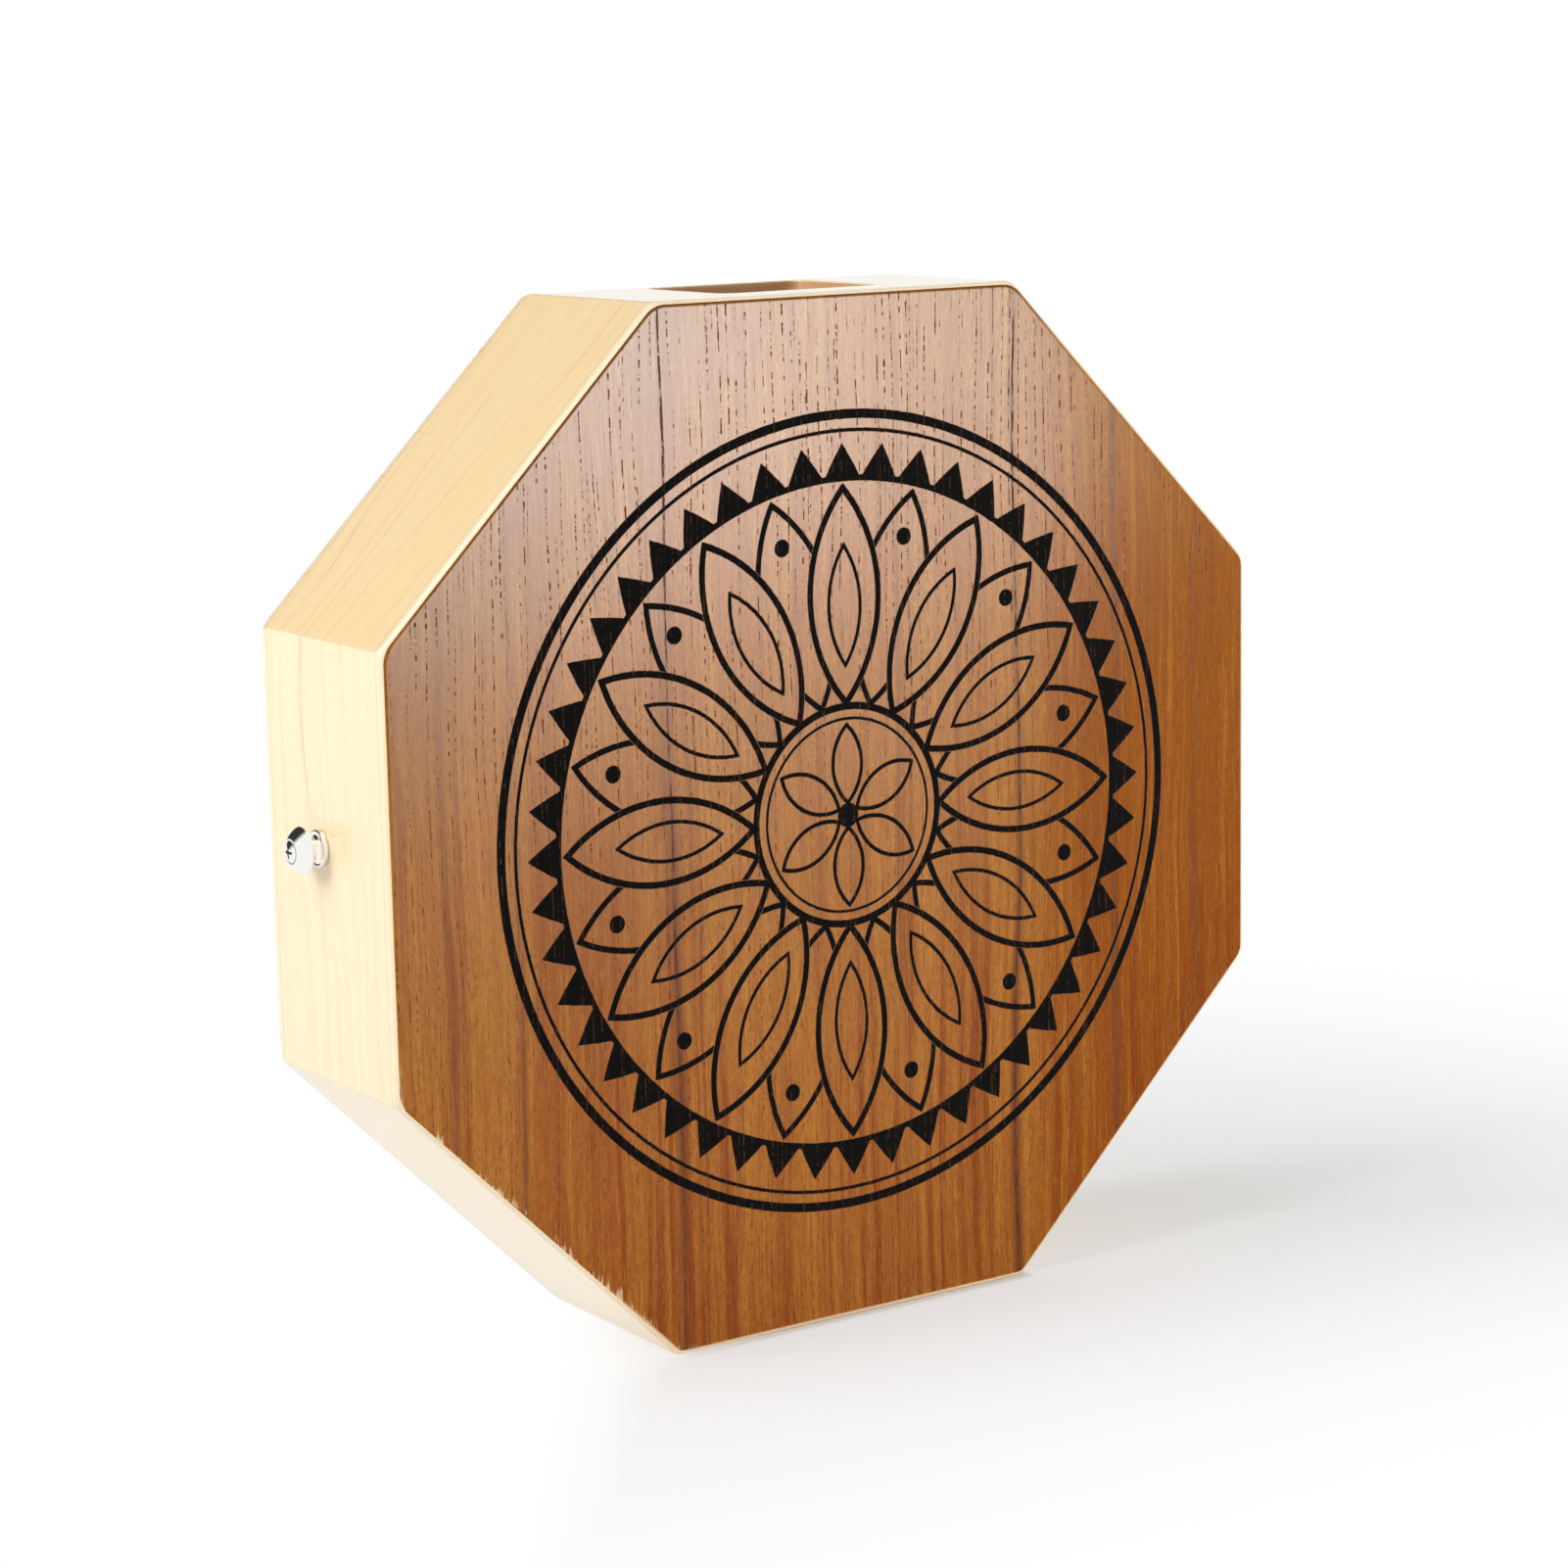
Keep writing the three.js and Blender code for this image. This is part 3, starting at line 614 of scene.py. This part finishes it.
def skin(bm, rings, closed=False):
    """Quads between rings of equal point count; returns the faces ring by ring."""
    pairs = list(zip(rings, rings[1:]))
    if closed:
        pairs.append((rings[-1], rings[0]))
    bands = []
    for lower, upper in pairs:
        band = []
        for i in range(len(lower)):
            j = (i + 1) % len(lower)
            band.append(bm.faces.new((lower[i], lower[j], upper[j], upper[i])))
        bands.append(band)
    return bands


def octagon_ring(inset, corner_round, y):
    """Octagon outline at one depth, set in from the flats, with rounded corners."""
    reach = (APOTHEM - inset - corner_round) / math.cos(HALF_STEP)
    ring = []
    for corner in range(SIDES):
        middle = (corner + 0.5) * STEP
        for i in range(CORNER_STEPS + 1):
            turn = middle + HALF_STEP * (2 * i / CORNER_STEPS - 1)
            x = reach * math.sin(middle) + corner_round * math.sin(turn)
            z = reach * math.cos(middle) + corner_round * math.cos(turn)
            ring.append((x, y, CENTRE_Z + z))
    return ring


def rolled_rings(from_roll, to_roll, face_y, glued_y):
    """Rings of a rolled plate edge, whose corners grow rounder from the glued face to the outer face."""
    thickness = glued_y - face_y
    rings = []
    for i in range(EDGE_STEPS + 1):
        roll = from_roll + (to_roll - from_roll) * i / EDGE_STEPS
        inset = EDGE_ROUND * (1 - math.cos(roll))
        drop = EDGE_ROUND * (1 - math.sin(roll))
        corner = FACE_CORNER_ROUND + (MITRE_ROUND - FACE_CORNER_ROUND) * drop / abs(thickness)
        rings.append(octagon_ring(inset, corner, face_y + math.copysign(drop, thickness)))
    return rings


def flat_ring(inset, y):
    """Border inside a flat face, which keeps the shading of the face flat."""
    return octagon_ring(inset + FLAT_BORDER, FACE_CORNER_ROUND, y)


def add_plate(node, rings, slot, material):
    """Plate made of rings from one face to the other, with both faces closed."""
    bm = bmesh.new()
    loops = [[bm.verts.new(point) for point in ring] for ring in rings]
    skin(bm, loops)
    bm.faces.new(loops[0])
    bm.faces.new(loops[-1])
    return add_piece(node, bm, slot, material)


def mark_grain(piece, points):
    """Stores where each vertex lies along, across and out of its board."""
    attribute = piece.data.attributes.new("grain", "FLOAT_VECTOR", "POINT")
    attribute.data.foreach_set("vector", [value for point in points for value in point])


def panel_section():
    """Outline of a side panel as seen from the front, as (along, out), drawn as the top panel."""
    tangent = math.tan(HALF_STEP)
    setback = MITRE_GAP / 2
    arc_out = APOTHEM - MITRE_ROUND
    arc_along = arc_out * tangent
    arc_start = QUARTER_TURN - HALF_STEP + math.asin(setback / MITRE_ROUND)
    half = [(INNER_APOTHEM * tangent - setback / math.cos(HALF_STEP), INNER_APOTHEM)]
    for i in range(EDGE_STEPS + 1):
        turn = arc_start + (QUARTER_TURN - arc_start) * i / EDGE_STEPS
        half.append((arc_along + MITRE_ROUND * math.cos(turn), arc_out + MITRE_ROUND * math.sin(turn)))
    half.append((arc_along - FLAT_BORDER, APOTHEM))
    return half + [(-along, out) for along, out in reversed(half)]


def port_outline(grow):
    """Rounded rectangle of the sound port, as (along, depth)."""
    front = PANEL_FRONT_Y + PORT_FRONT_STRIP
    back = PANEL_BACK_Y - PORT_BACK_STRIP
    corner = PORT_CORNER + grow
    half_length = PORT_LENGTH / 2 + grow - corner
    half_width = (back - front) / 2 + grow - corner
    points = []
    for quarter, (side, depth) in enumerate(((1, 1), (-1, 1), (-1, -1), (1, -1))):
        for i in range(PORT_STEPS + 1):
            turn = (quarter + i / PORT_STEPS) * QUARTER_TURN
            along = side * half_length + corner * math.cos(turn)
            points.append((along, (front + back) / 2 + depth * half_width + corner * math.sin(turn)))
    return points


def screw_hole_outline(rise, y):
    """Outline maker for the drilling behind a strap button."""
    def outline(grow):
        radius = SCREW_SHANK_RADIUS + SCREW_CLEARANCE + grow
        turns = [FULL_TURN * i / HOLE_SEGMENTS for i in range(HOLE_SEGMENTS)]
        return [(rise + radius * math.cos(turn), y + radius * math.sin(turn)) for turn in turns]
    return outline


def add_hole(bm, outline, edge_round, outer_loop, inner_loop):
    """Cuts an eased hole between two flat faces, each given by its corner vertices."""
    levels = [(edge_round + FLAT_BORDER, APOTHEM)]
    for i in range(EDGE_STEPS + 1):
        roll = QUARTER_TURN * (1 - i / EDGE_STEPS)
        sink = edge_round * (1 - math.sin(roll))
        levels.append((edge_round * (1 - math.cos(roll)), APOTHEM - sink))
    mirrored = [(grow, APOTHEM + INNER_APOTHEM - out) for grow, out in reversed(levels)]
    rings = []
    for grow, out in levels + mirrored:
        rings.append([bm.verts.new((along, y, out)) for along, y in outline(grow)])
    bands = skin(bm, rings)
    for face in bands[len(levels) - 1]:
        face.material_index = 1
    for loop, ring in ((outer_loop, rings[0]), (inner_loop, rings[-1])):
        edges = []
        for points in (loop, ring):
            for i, vertex in enumerate(points):
                following = points[(i + 1) % len(points)]
                edges.append(bm.edges.get((vertex, following)) or bm.edges.new((vertex, following)))
        bmesh.ops.triangle_fill(bm, edges=edges, use_beauty=True)


def add_panel(index, node, outline=None, edge_round=0.0):
    """Side panel turned to its place round the octagon, with a hole where an outline is given."""
    section = panel_section()
    bm = bmesh.new()
    front, back = (
        [bm.verts.new((along, y, out)) for along, out in section]
        for y in (PANEL_FRONT_Y, PANEL_BACK_Y)
    )
    bm.faces.new(front)
    bm.faces.new(back)
    middle = len(section) // 2
    flats = ((middle - 1, middle), (len(section) - 1, 0))
    for i in range(len(section)):
        j = (i + 1) % len(section)
        if outline is None or (i, j) not in flats:
            bm.faces.new((front[i], front[j], back[j], back[i]))
    if outline:
        loops = [[front[i], front[j], back[j], back[i]] for i, j in flats]
        add_hole(bm, outline, edge_round, *loops)
    bm.verts.index_update()
    points = [vertex.co.copy() for vertex in bm.verts]
    place = Matrix.Translation((0, 0, CENTRE_Z)) @ Matrix.Rotation(index * STEP, 4, "Y")
    bm.transform(place)
    piece = add_piece(node, bm, "maple", PANEL_WOODS.get(node, MAPLE), PORT_WALL)
    shift = Vector((index * GRAIN_OFFSET, index * GRAIN_OFFSET, 0))
    mark_grain(piece, [point + shift for point in points])


def arc(centre, radius, start, end):
    """Points of an arc in a turning profile, as (radius, height)."""
    turns = [start + (end - start) * i / CURVE_STEPS for i in range(CURVE_STEPS + 1)]
    return [(centre[0] + radius * math.cos(t), centre[1] + radius * math.sin(t)) for t in turns]


def bend(start, control, end):
    """Points of a curve between two points of a turning profile, drawn towards a third."""
    points = []
    for i in range(1, CURVE_STEPS + 1):
        t = i / CURVE_STEPS
        weights = ((1 - t) ** 2, 2 * t * (1 - t), t ** 2)
        points.append(tuple(sum(w * p[k] for w, p in zip(weights, (start, control, end))) for k in (0, 1)))
    return points


def turn_profile(bm, profile, closed):
    """Skin turned about Z from (radius, height) points, closed as a ring or ending on the axis."""
    rings = []
    for radius, height in profile:
        turns = [FULL_TURN * i / TURNED_SEGMENTS for i in range(TURNED_SEGMENTS)]
        rings.append([bm.verts.new((radius * math.cos(t), radius * math.sin(t), height)) for t in turns])
    skin(bm, rings, closed)
    if not closed:
        bmesh.ops.remove_doubles(bm, verts=rings[0] + rings[-1], dist=WELD_DISTANCE)


def button_profile():
    """Strap button: dished base with a rounded lip, waisted neck, thin-rimmed head, countersunk bore."""
    bore = SCREW_SHANK_RADIUS + SCREW_CLEARANCE
    half_lip = BUTTON_BASE_LIP / 2
    lip_middle = (BUTTON_BASE_RADIUS - half_lip, BUTTON_BASE_THICKNESS - half_lip)
    lip = arc(lip_middle, half_lip, 0, 1.5 * QUARTER_TURN)
    dish = (BUTTON_NECK_RADIUS, BUTTON_BASE_THICKNESS - BUTTON_BASE_DISH)
    waist = (BUTTON_NECK_RADIUS, (BUTTON_BASE_THICKNESS + BUTTON_HEAD_SEAT) / 2)
    seat = (BUTTON_HEAD_RADIUS - BUTTON_HEAD_RIM, BUTTON_HEAD_SEAT)
    rim_middle = (seat[0], seat[1] + BUTTON_HEAD_RIM)
    rim = arc(rim_middle, BUTTON_HEAD_RIM, -QUARTER_TURN, QUARTER_TURN / 3)
    sink = SCREW_HEAD_RADIUS + SCREW_CLEARANCE
    face = (sink + BUTTON_FACE_RING, BUTTON_HEIGHT)
    flank = (
        face[0] + BUTTON_HEAD_FULLNESS * (BUTTON_HEAD_RADIUS - face[0]),
        rim_middle[1] + BUTTON_HEAD_FULLNESS * (BUTTON_HEIGHT - rim_middle[1]),
    )
    return [
        (bore, 0),
        (BUTTON_BASE_RADIUS, 0),
        *lip,
        *bend(lip[-1], dish, waist),
        *bend(waist, (BUTTON_NECK_RADIUS, BUTTON_HEAD_SEAT), seat),
        *rim[1:],
        *bend(rim[-1], flank, face),
        (sink, BUTTON_HEIGHT),
        (bore, BUTTON_HEIGHT - (sink - bore)),
    ]


def screw_profile():
    """Strap screw: pointed shank, countersunk cone and domed head, ending on the axis."""
    rim = (SCREW_HEAD_RADIUS, BUTTON_HEIGHT)
    crown = (0, BUTTON_HEIGHT + SCREW_DOME)
    tip = BUTTON_HEIGHT - SCREW_LENGTH
    return [
        (0, tip),
        (SCREW_SHANK_RADIUS, tip + SCREW_POINT),
        (SCREW_SHANK_RADIUS, BUTTON_HEIGHT - (SCREW_HEAD_RADIUS - SCREW_SHANK_RADIUS)),
        rim,
        *bend(rim, (SCREW_HEAD_RADIUS / 2, crown[1]), crown),
    ]


def fine_bevel(piece):
    """Breaks the sharp edges of a metal piece, so that they catch the light."""
    bevel = piece.modifiers.new("eased edges", "BEVEL")
    bevel.width = FINE_BEVEL
    bevel.segments = FINE_BEVEL_STEPS
    bevel.limit_method = "ANGLE"
    bevel.angle_limit = SHARP_ANGLE
    bevel.harden_normals = True


def cut_cross(bm):
    """Cuts the cross recess into a screw's head and gives its walls the second material."""
    screw = bpy.data.meshes.new("screw_blank")
    bm.to_mesh(screw)
    blank = bpy.data.objects.new("screw_blank", screw)
    cross_mesh = bpy.data.meshes.new("cross_cutter")
    cross = bmesh.new()
    half_span, half_width = CROSS_SPAN / 2, CROSS_WIDTH / 2
    outline = []
    arm = ((half_width, half_width), (half_width, half_span), (-half_width, half_span))
    for quarter in range(4):
        spin = Matrix.Rotation(quarter * QUARTER_TURN, 3, "Z")
        outline.extend(spin @ Vector((x, y, 0)) for x, y in arm)
    crown = BUTTON_HEIGHT + SCREW_DOME
    loops = [
        [cross.verts.new(point + Vector((0, 0, height))) for point in outline]
        for height in (crown - CROSS_DEPTH, crown + CROSS_DEPTH)
    ]
    skin(cross, loops)
    cross.faces.new(loops[0])
    cross.faces.new(loops[1])
    bmesh.ops.recalc_face_normals(cross, faces=cross.faces)
    cross.to_mesh(cross_mesh)
    cross.free()
    cutter = bpy.data.objects.new("cross_cutter", cross_mesh)
    for helper in (blank, cutter):
        bpy.context.scene.collection.objects.link(helper)
    cut = blank.modifiers.new("cross", "BOOLEAN")
    cut.operation = "DIFFERENCE"
    cut.solver = "EXACT"
    cut.object = cutter
    shape = blank.evaluated_get(bpy.context.evaluated_depsgraph_get()).to_mesh()
    bm.clear()
    bm.from_mesh(shape)
    # Of the faces this near the axis, only those of the recess lie between the shank and the dome
    for face in bm.faces:
        middle = face.calc_center_median()
        below_dome = BUTTON_HEIGHT - CROSS_DEPTH < middle.z < BUTTON_HEIGHT + SCREW_DOME / 3
        if below_dome and middle.xy.length < half_span + half_width / 4:
            face.material_index = 1
    for helper in (blank, cutter):
        bpy.data.objects.remove(helper)


def add_fitting(side, sign):
    """Strap button and its screw on one side, standing straight out of the panel; returns both."""
    low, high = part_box(f"strap_button_{side}")
    middle = (low + high) / 2
    place = Matrix.Translation((sign * (APOTHEM + BUTTON_SEAT_GAP), middle.y, middle.z))
    place = place @ Matrix.Rotation(sign * QUARTER_TURN, 4, "Y")
    pieces = []
    for kind, profile, closed in (("button", button_profile(), True), ("screw", screw_profile(), False)):
        bm = bmesh.new()
        turn_profile(bm, profile, closed)
        bmesh.ops.recalc_face_normals(bm, faces=bm.faces)
        if kind == "screw":
            cut_cross(bm)
        bm.transform(place)
        piece = add_piece(f"strap_{kind}_{side}", bm, "chrome", CHROME, RECESS)
        if kind == "button":
            fine_bevel(piece)
        pieces.append(piece)
    return pieces


veneer = add_plate(
    "front_veneer",
    [flat_ring(EDGE_ROUND, FRONT_Y), *rolled_rings(QUARTER_TURN, VENEER_ROLL, FRONT_Y, CORE_BACK_Y)],
    "face_veneer", VENEER,
)
add_plate(
    "front_plate",
    [*rolled_rings(VENEER_ROLL, 0, FRONT_Y, CORE_BACK_Y), octagon_ring(0, MITRE_ROUND, CORE_BACK_Y)],
    "ply_core", PLY,
)
back_plate = add_plate(
    "back_plate",
    [
        octagon_ring(0, MITRE_ROUND, BACK_PLATE_Y),
        *rolled_rings(0, QUARTER_TURN, BACK_Y, BACK_PLATE_Y),
        flat_ring(EDGE_ROUND, BACK_Y),
    ],
    "maple", PALE_AND_PAINTED_LIGHT_MAPLE,
)
mark_grain(back_plate, [(v.co.z, v.co.x, v.co.y) for v in back_plate.data.vertices])

button_low, button_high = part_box("strap_button_left")
BUTTON_Y = (button_low.y + button_high.y) / 2
HOLES = {
    "panel_top": (port_outline, PORT_EDGE_ROUND),
    "panel_left": (screw_hole_outline(BUTTON_RISE, BUTTON_Y), FINE_BEVEL),
    "panel_right": (screw_hole_outline(-BUTTON_RISE, BUTTON_Y), FINE_BEVEL),
}
for index, node in enumerate(PANEL_NAMES):
    add_panel(index, node, *HOLES.get(node, ()))
fittings = [*add_fitting("left", -1), *add_fitting("right", 1)]

# Inner pieces keep their solids
for node, solid in frame["nodes"].items():
    if node.startswith(("corner_block", "side_block", "snare_bar")):
        solid.data.materials.clear()
        solid.data.materials.append(SOFTWOOD)
    elif node.startswith("snare"):
        solid.data.materials.clear()
        solid.data.materials.append(STEEL)


# Floor, light and camera
FLOOR_HALF = 6.0
FLOOR_WHITE_SHARE = 0.42
FLOOR_FADE = (0.08, 0.55)
FLOOR_FRONT_FADE = (-0.05, 0.28)
FLOOR_LEFT_FADE = (-0.01, 0.08)
LEFT_OF_CAMERA = Vector((-0.827, 0.562))
FOOT_HALF = Vector((APOTHEM * math.tan(HALF_STEP), BACK_Y))
CONTACT_SHADE = 4 * MM
AMBIENT = 0.28
HORIZON = 1.0
DIM_PATCH = 0.04
DIM_TOWARDS = Vector((-0.25, 0.8, 0.545))
DIM_SPREAD = (0.6, 0.88)

# Soft lamps: place, point they face, width and height, with their power in watts
LEFT_BOX = ((-1.115, 0.1, 0.945), (-0.15, 0, CENTRE_Z), 0.9, 1.2)
LEFT_POWER = 16.3
FRONT_BOX = ((0.785, -1.45, 0.2475), (0.785, 0, 0.2475), 0.71, 0.405)
FRONT_POWER = 16.5
SHEEN_POWER = 138
BACK_BOX = ((0.9, 1.3, 0.75), (0.05, 0, CENTRE_Z), 0.9, 0.9)
BACK_POWER = 10
FAR_NODES = ("back_plate", "panel_right", "panel_top_right", "panel_bottom_right")


def seen_directly(tree):
    """1 for rays that show the background itself, whether straight, mirrored or through glass."""
    path = tree.nodes.new("ShaderNodeLightPath")
    names = ("Is Camera Ray", "Is Glossy Ray", "Is Transmission Ray")
    return largest(*(Wire(tree, path.outputs[name]) for name in names))


def floor_material():
    """Pale paper with a painted white glow that keeps the shadow near the drum and covers it at the left,
    in front and far off.
    """
    shader = Shader("floor")
    x, y, z = shader.place()
    grain = shader.noise(x / 2, y / 2, z, detail=3)
    tone = shader.tint(grain, rgb(246, 246, 246), rgb(243, 243, 243))
    shader.feed(Base_Color=tone, Roughness=0.9, Specular_IOR_Level=0.1)
    distance = (x * x + y * y).math("SQRT") * MM
    aside = (x * LEFT_OF_CAMERA.x + y * LEFT_OF_CAMERA.y) * MM
    paler = largest(shader.rise(distance, *FLOOR_FADE), shader.rise(y * -MM, *FLOOR_FRONT_FADE))
    clear = paler * (1 - FLOOR_WHITE_SHARE) + FLOOR_WHITE_SHARE
    off_foot = largest(x.absolute() * MM - FOOT_HALF.x, y.absolute() * MM - FOOT_HALF.y)
    shaded = clear * shader.rise(off_foot, 0, CONTACT_SHADE)
    # Painted light: a white glow for direct and mirrored views, mixed over the lit paper.
    white = seen_directly(shader.tree) * largest(shaded, shader.rise(aside, *FLOOR_LEFT_FADE))
    glow = shader.tree.nodes.new("ShaderNodeEmission")
    glow.inputs["Color"].default_value = (1, 1, 1, 1)
    mix = shader.tree.nodes.new("ShaderNodeMixShader")
    links = shader.tree.links
    links.new(white.socket, mix.inputs["Fac"])
    links.new(shader.surface.outputs[0], mix.inputs[1])
    links.new(glow.outputs[0], mix.inputs[2])
    links.new(mix.outputs[0], shader.tree.nodes["Material Output"].inputs["Surface"])
    return shader.material


def add_floor():
    """Wide floor under the drum, outside the part itself."""
    bm = bmesh.new()
    bmesh.ops.create_grid(bm, x_segments=1, y_segments=1, size=FLOOR_HALF)
    mesh = bpy.data.meshes.new("floor")
    bm.to_mesh(mesh)
    bm.free()
    mesh.materials.append(floor_material())
    floor = bpy.data.objects.new("floor", mesh)
    bpy.context.scene.collection.objects.link(floor)


def add_world():
    """White to the camera, white with a dim patch up behind to mirrors, and a softer fill for the rest."""
    world = bpy.data.worlds.new("studio")
    bpy.context.scene.world = world
    world.use_nodes = True
    tree = world.node_tree
    direction = tree.nodes.new("ShaderNodeTexCoord")
    split = tree.nodes.new("ShaderNodeSeparateXYZ")
    tree.links.new(direction.outputs["Generated"], split.inputs[0])
    fade = tree.nodes.new("ShaderNodeMapRange")
    fade.interpolation_type = "SMOOTHSTEP"
    x, y, z = (Wire(tree, output) for output in split.outputs)
    facing = x * DIM_TOWARDS.x + y * DIM_TOWARDS.y + z * DIM_TOWARDS.z
    tree.links.new(facing.socket, fade.inputs["Value"])
    fade.inputs["From Min"].default_value = DIM_SPREAD[0]
    fade.inputs["From Max"].default_value = DIM_SPREAD[1]
    fade.inputs["To Min"].default_value = HORIZON
    fade.inputs["To Max"].default_value = DIM_PATCH
    path = tree.nodes.new("ShaderNodeLightPath")
    camera = Wire(tree, path.outputs["Is Camera Ray"])
    seen = seen_directly(tree)
    mirrored = (seen - camera) * Wire(tree, fade.outputs["Result"])
    strength = camera + mirrored + seen.inverse() * AMBIENT
    tree.links.new(strength.socket, tree.nodes["Background"].inputs["Strength"])
    tree.nodes["Background"].inputs["Color"].default_value = (1, 1, 1, 1)


def add_softbox(name, place, aim, width, height, power):
    """Soft rectangular lamp that the camera doesn't see."""
    lamp = bpy.data.lights.new(name, "AREA")
    lamp.shape = "RECTANGLE"
    lamp.size = width
    lamp.size_y = height
    lamp.energy = power
    box = bpy.data.objects.new(name, lamp)
    box.location = place
    box.rotation_mode = "QUATERNION"
    box.rotation_quaternion = (Vector(aim) - Vector(place)).to_track_quat("-Z", "Y")
    box.visible_camera = False
    bpy.context.scene.collection.objects.link(box)
    return box


def link_light(lamp, pieces, state):
    """Lets a lamp reach only the given pieces, or all but them."""
    receivers = bpy.data.collections.new(f"{lamp.name}_receivers")
    lamp.light_linking.receiver_collection = receivers
    for place, piece in enumerate(pieces):
        receivers.objects.link(piece)
        receivers.collection_objects[place].light_linking.link_state = state


def add_camera():
    """Camera at the photograph's place, with its slight roll."""
    lens = bpy.data.cameras.new("camera")
    lens.lens = CAMERA_LENS
    lens.sensor_width = CAMERA_SENSOR
    camera = bpy.data.objects.new("camera", lens)
    camera.location = CAMERA_PLACE
    camera.rotation_mode = "QUATERNION"
    level = (CAMERA_AIM - CAMERA_PLACE).to_track_quat("-Z", "Y")
    camera.rotation_quaternion = level @ Quaternion((0, 0, 1), CAMERA_ROLL)
    bpy.context.scene.collection.objects.link(camera)
    bpy.context.scene.camera = camera


add_camera()
add_floor()
add_world()
left = add_softbox("left_softbox", *LEFT_BOX, LEFT_POWER)
link_light(left, fittings, "EXCLUDE")
front = add_softbox("front_softbox", *FRONT_BOX, FRONT_POWER)
front.visible_glossy = False
sheen = add_softbox("front_sheen", *FRONT_BOX, SHEEN_POWER)
sheen.visible_diffuse = False
link_light(sheen, [veneer], "INCLUDE")
back = add_softbox("back_softbox", *BACK_BOX, BACK_POWER)
link_light(back, [bpy.data.objects[f"{node}_finished"] for node in FAR_NODES], "INCLUDE")
bpy.context.scene.view_settings.view_transform = "Standard"
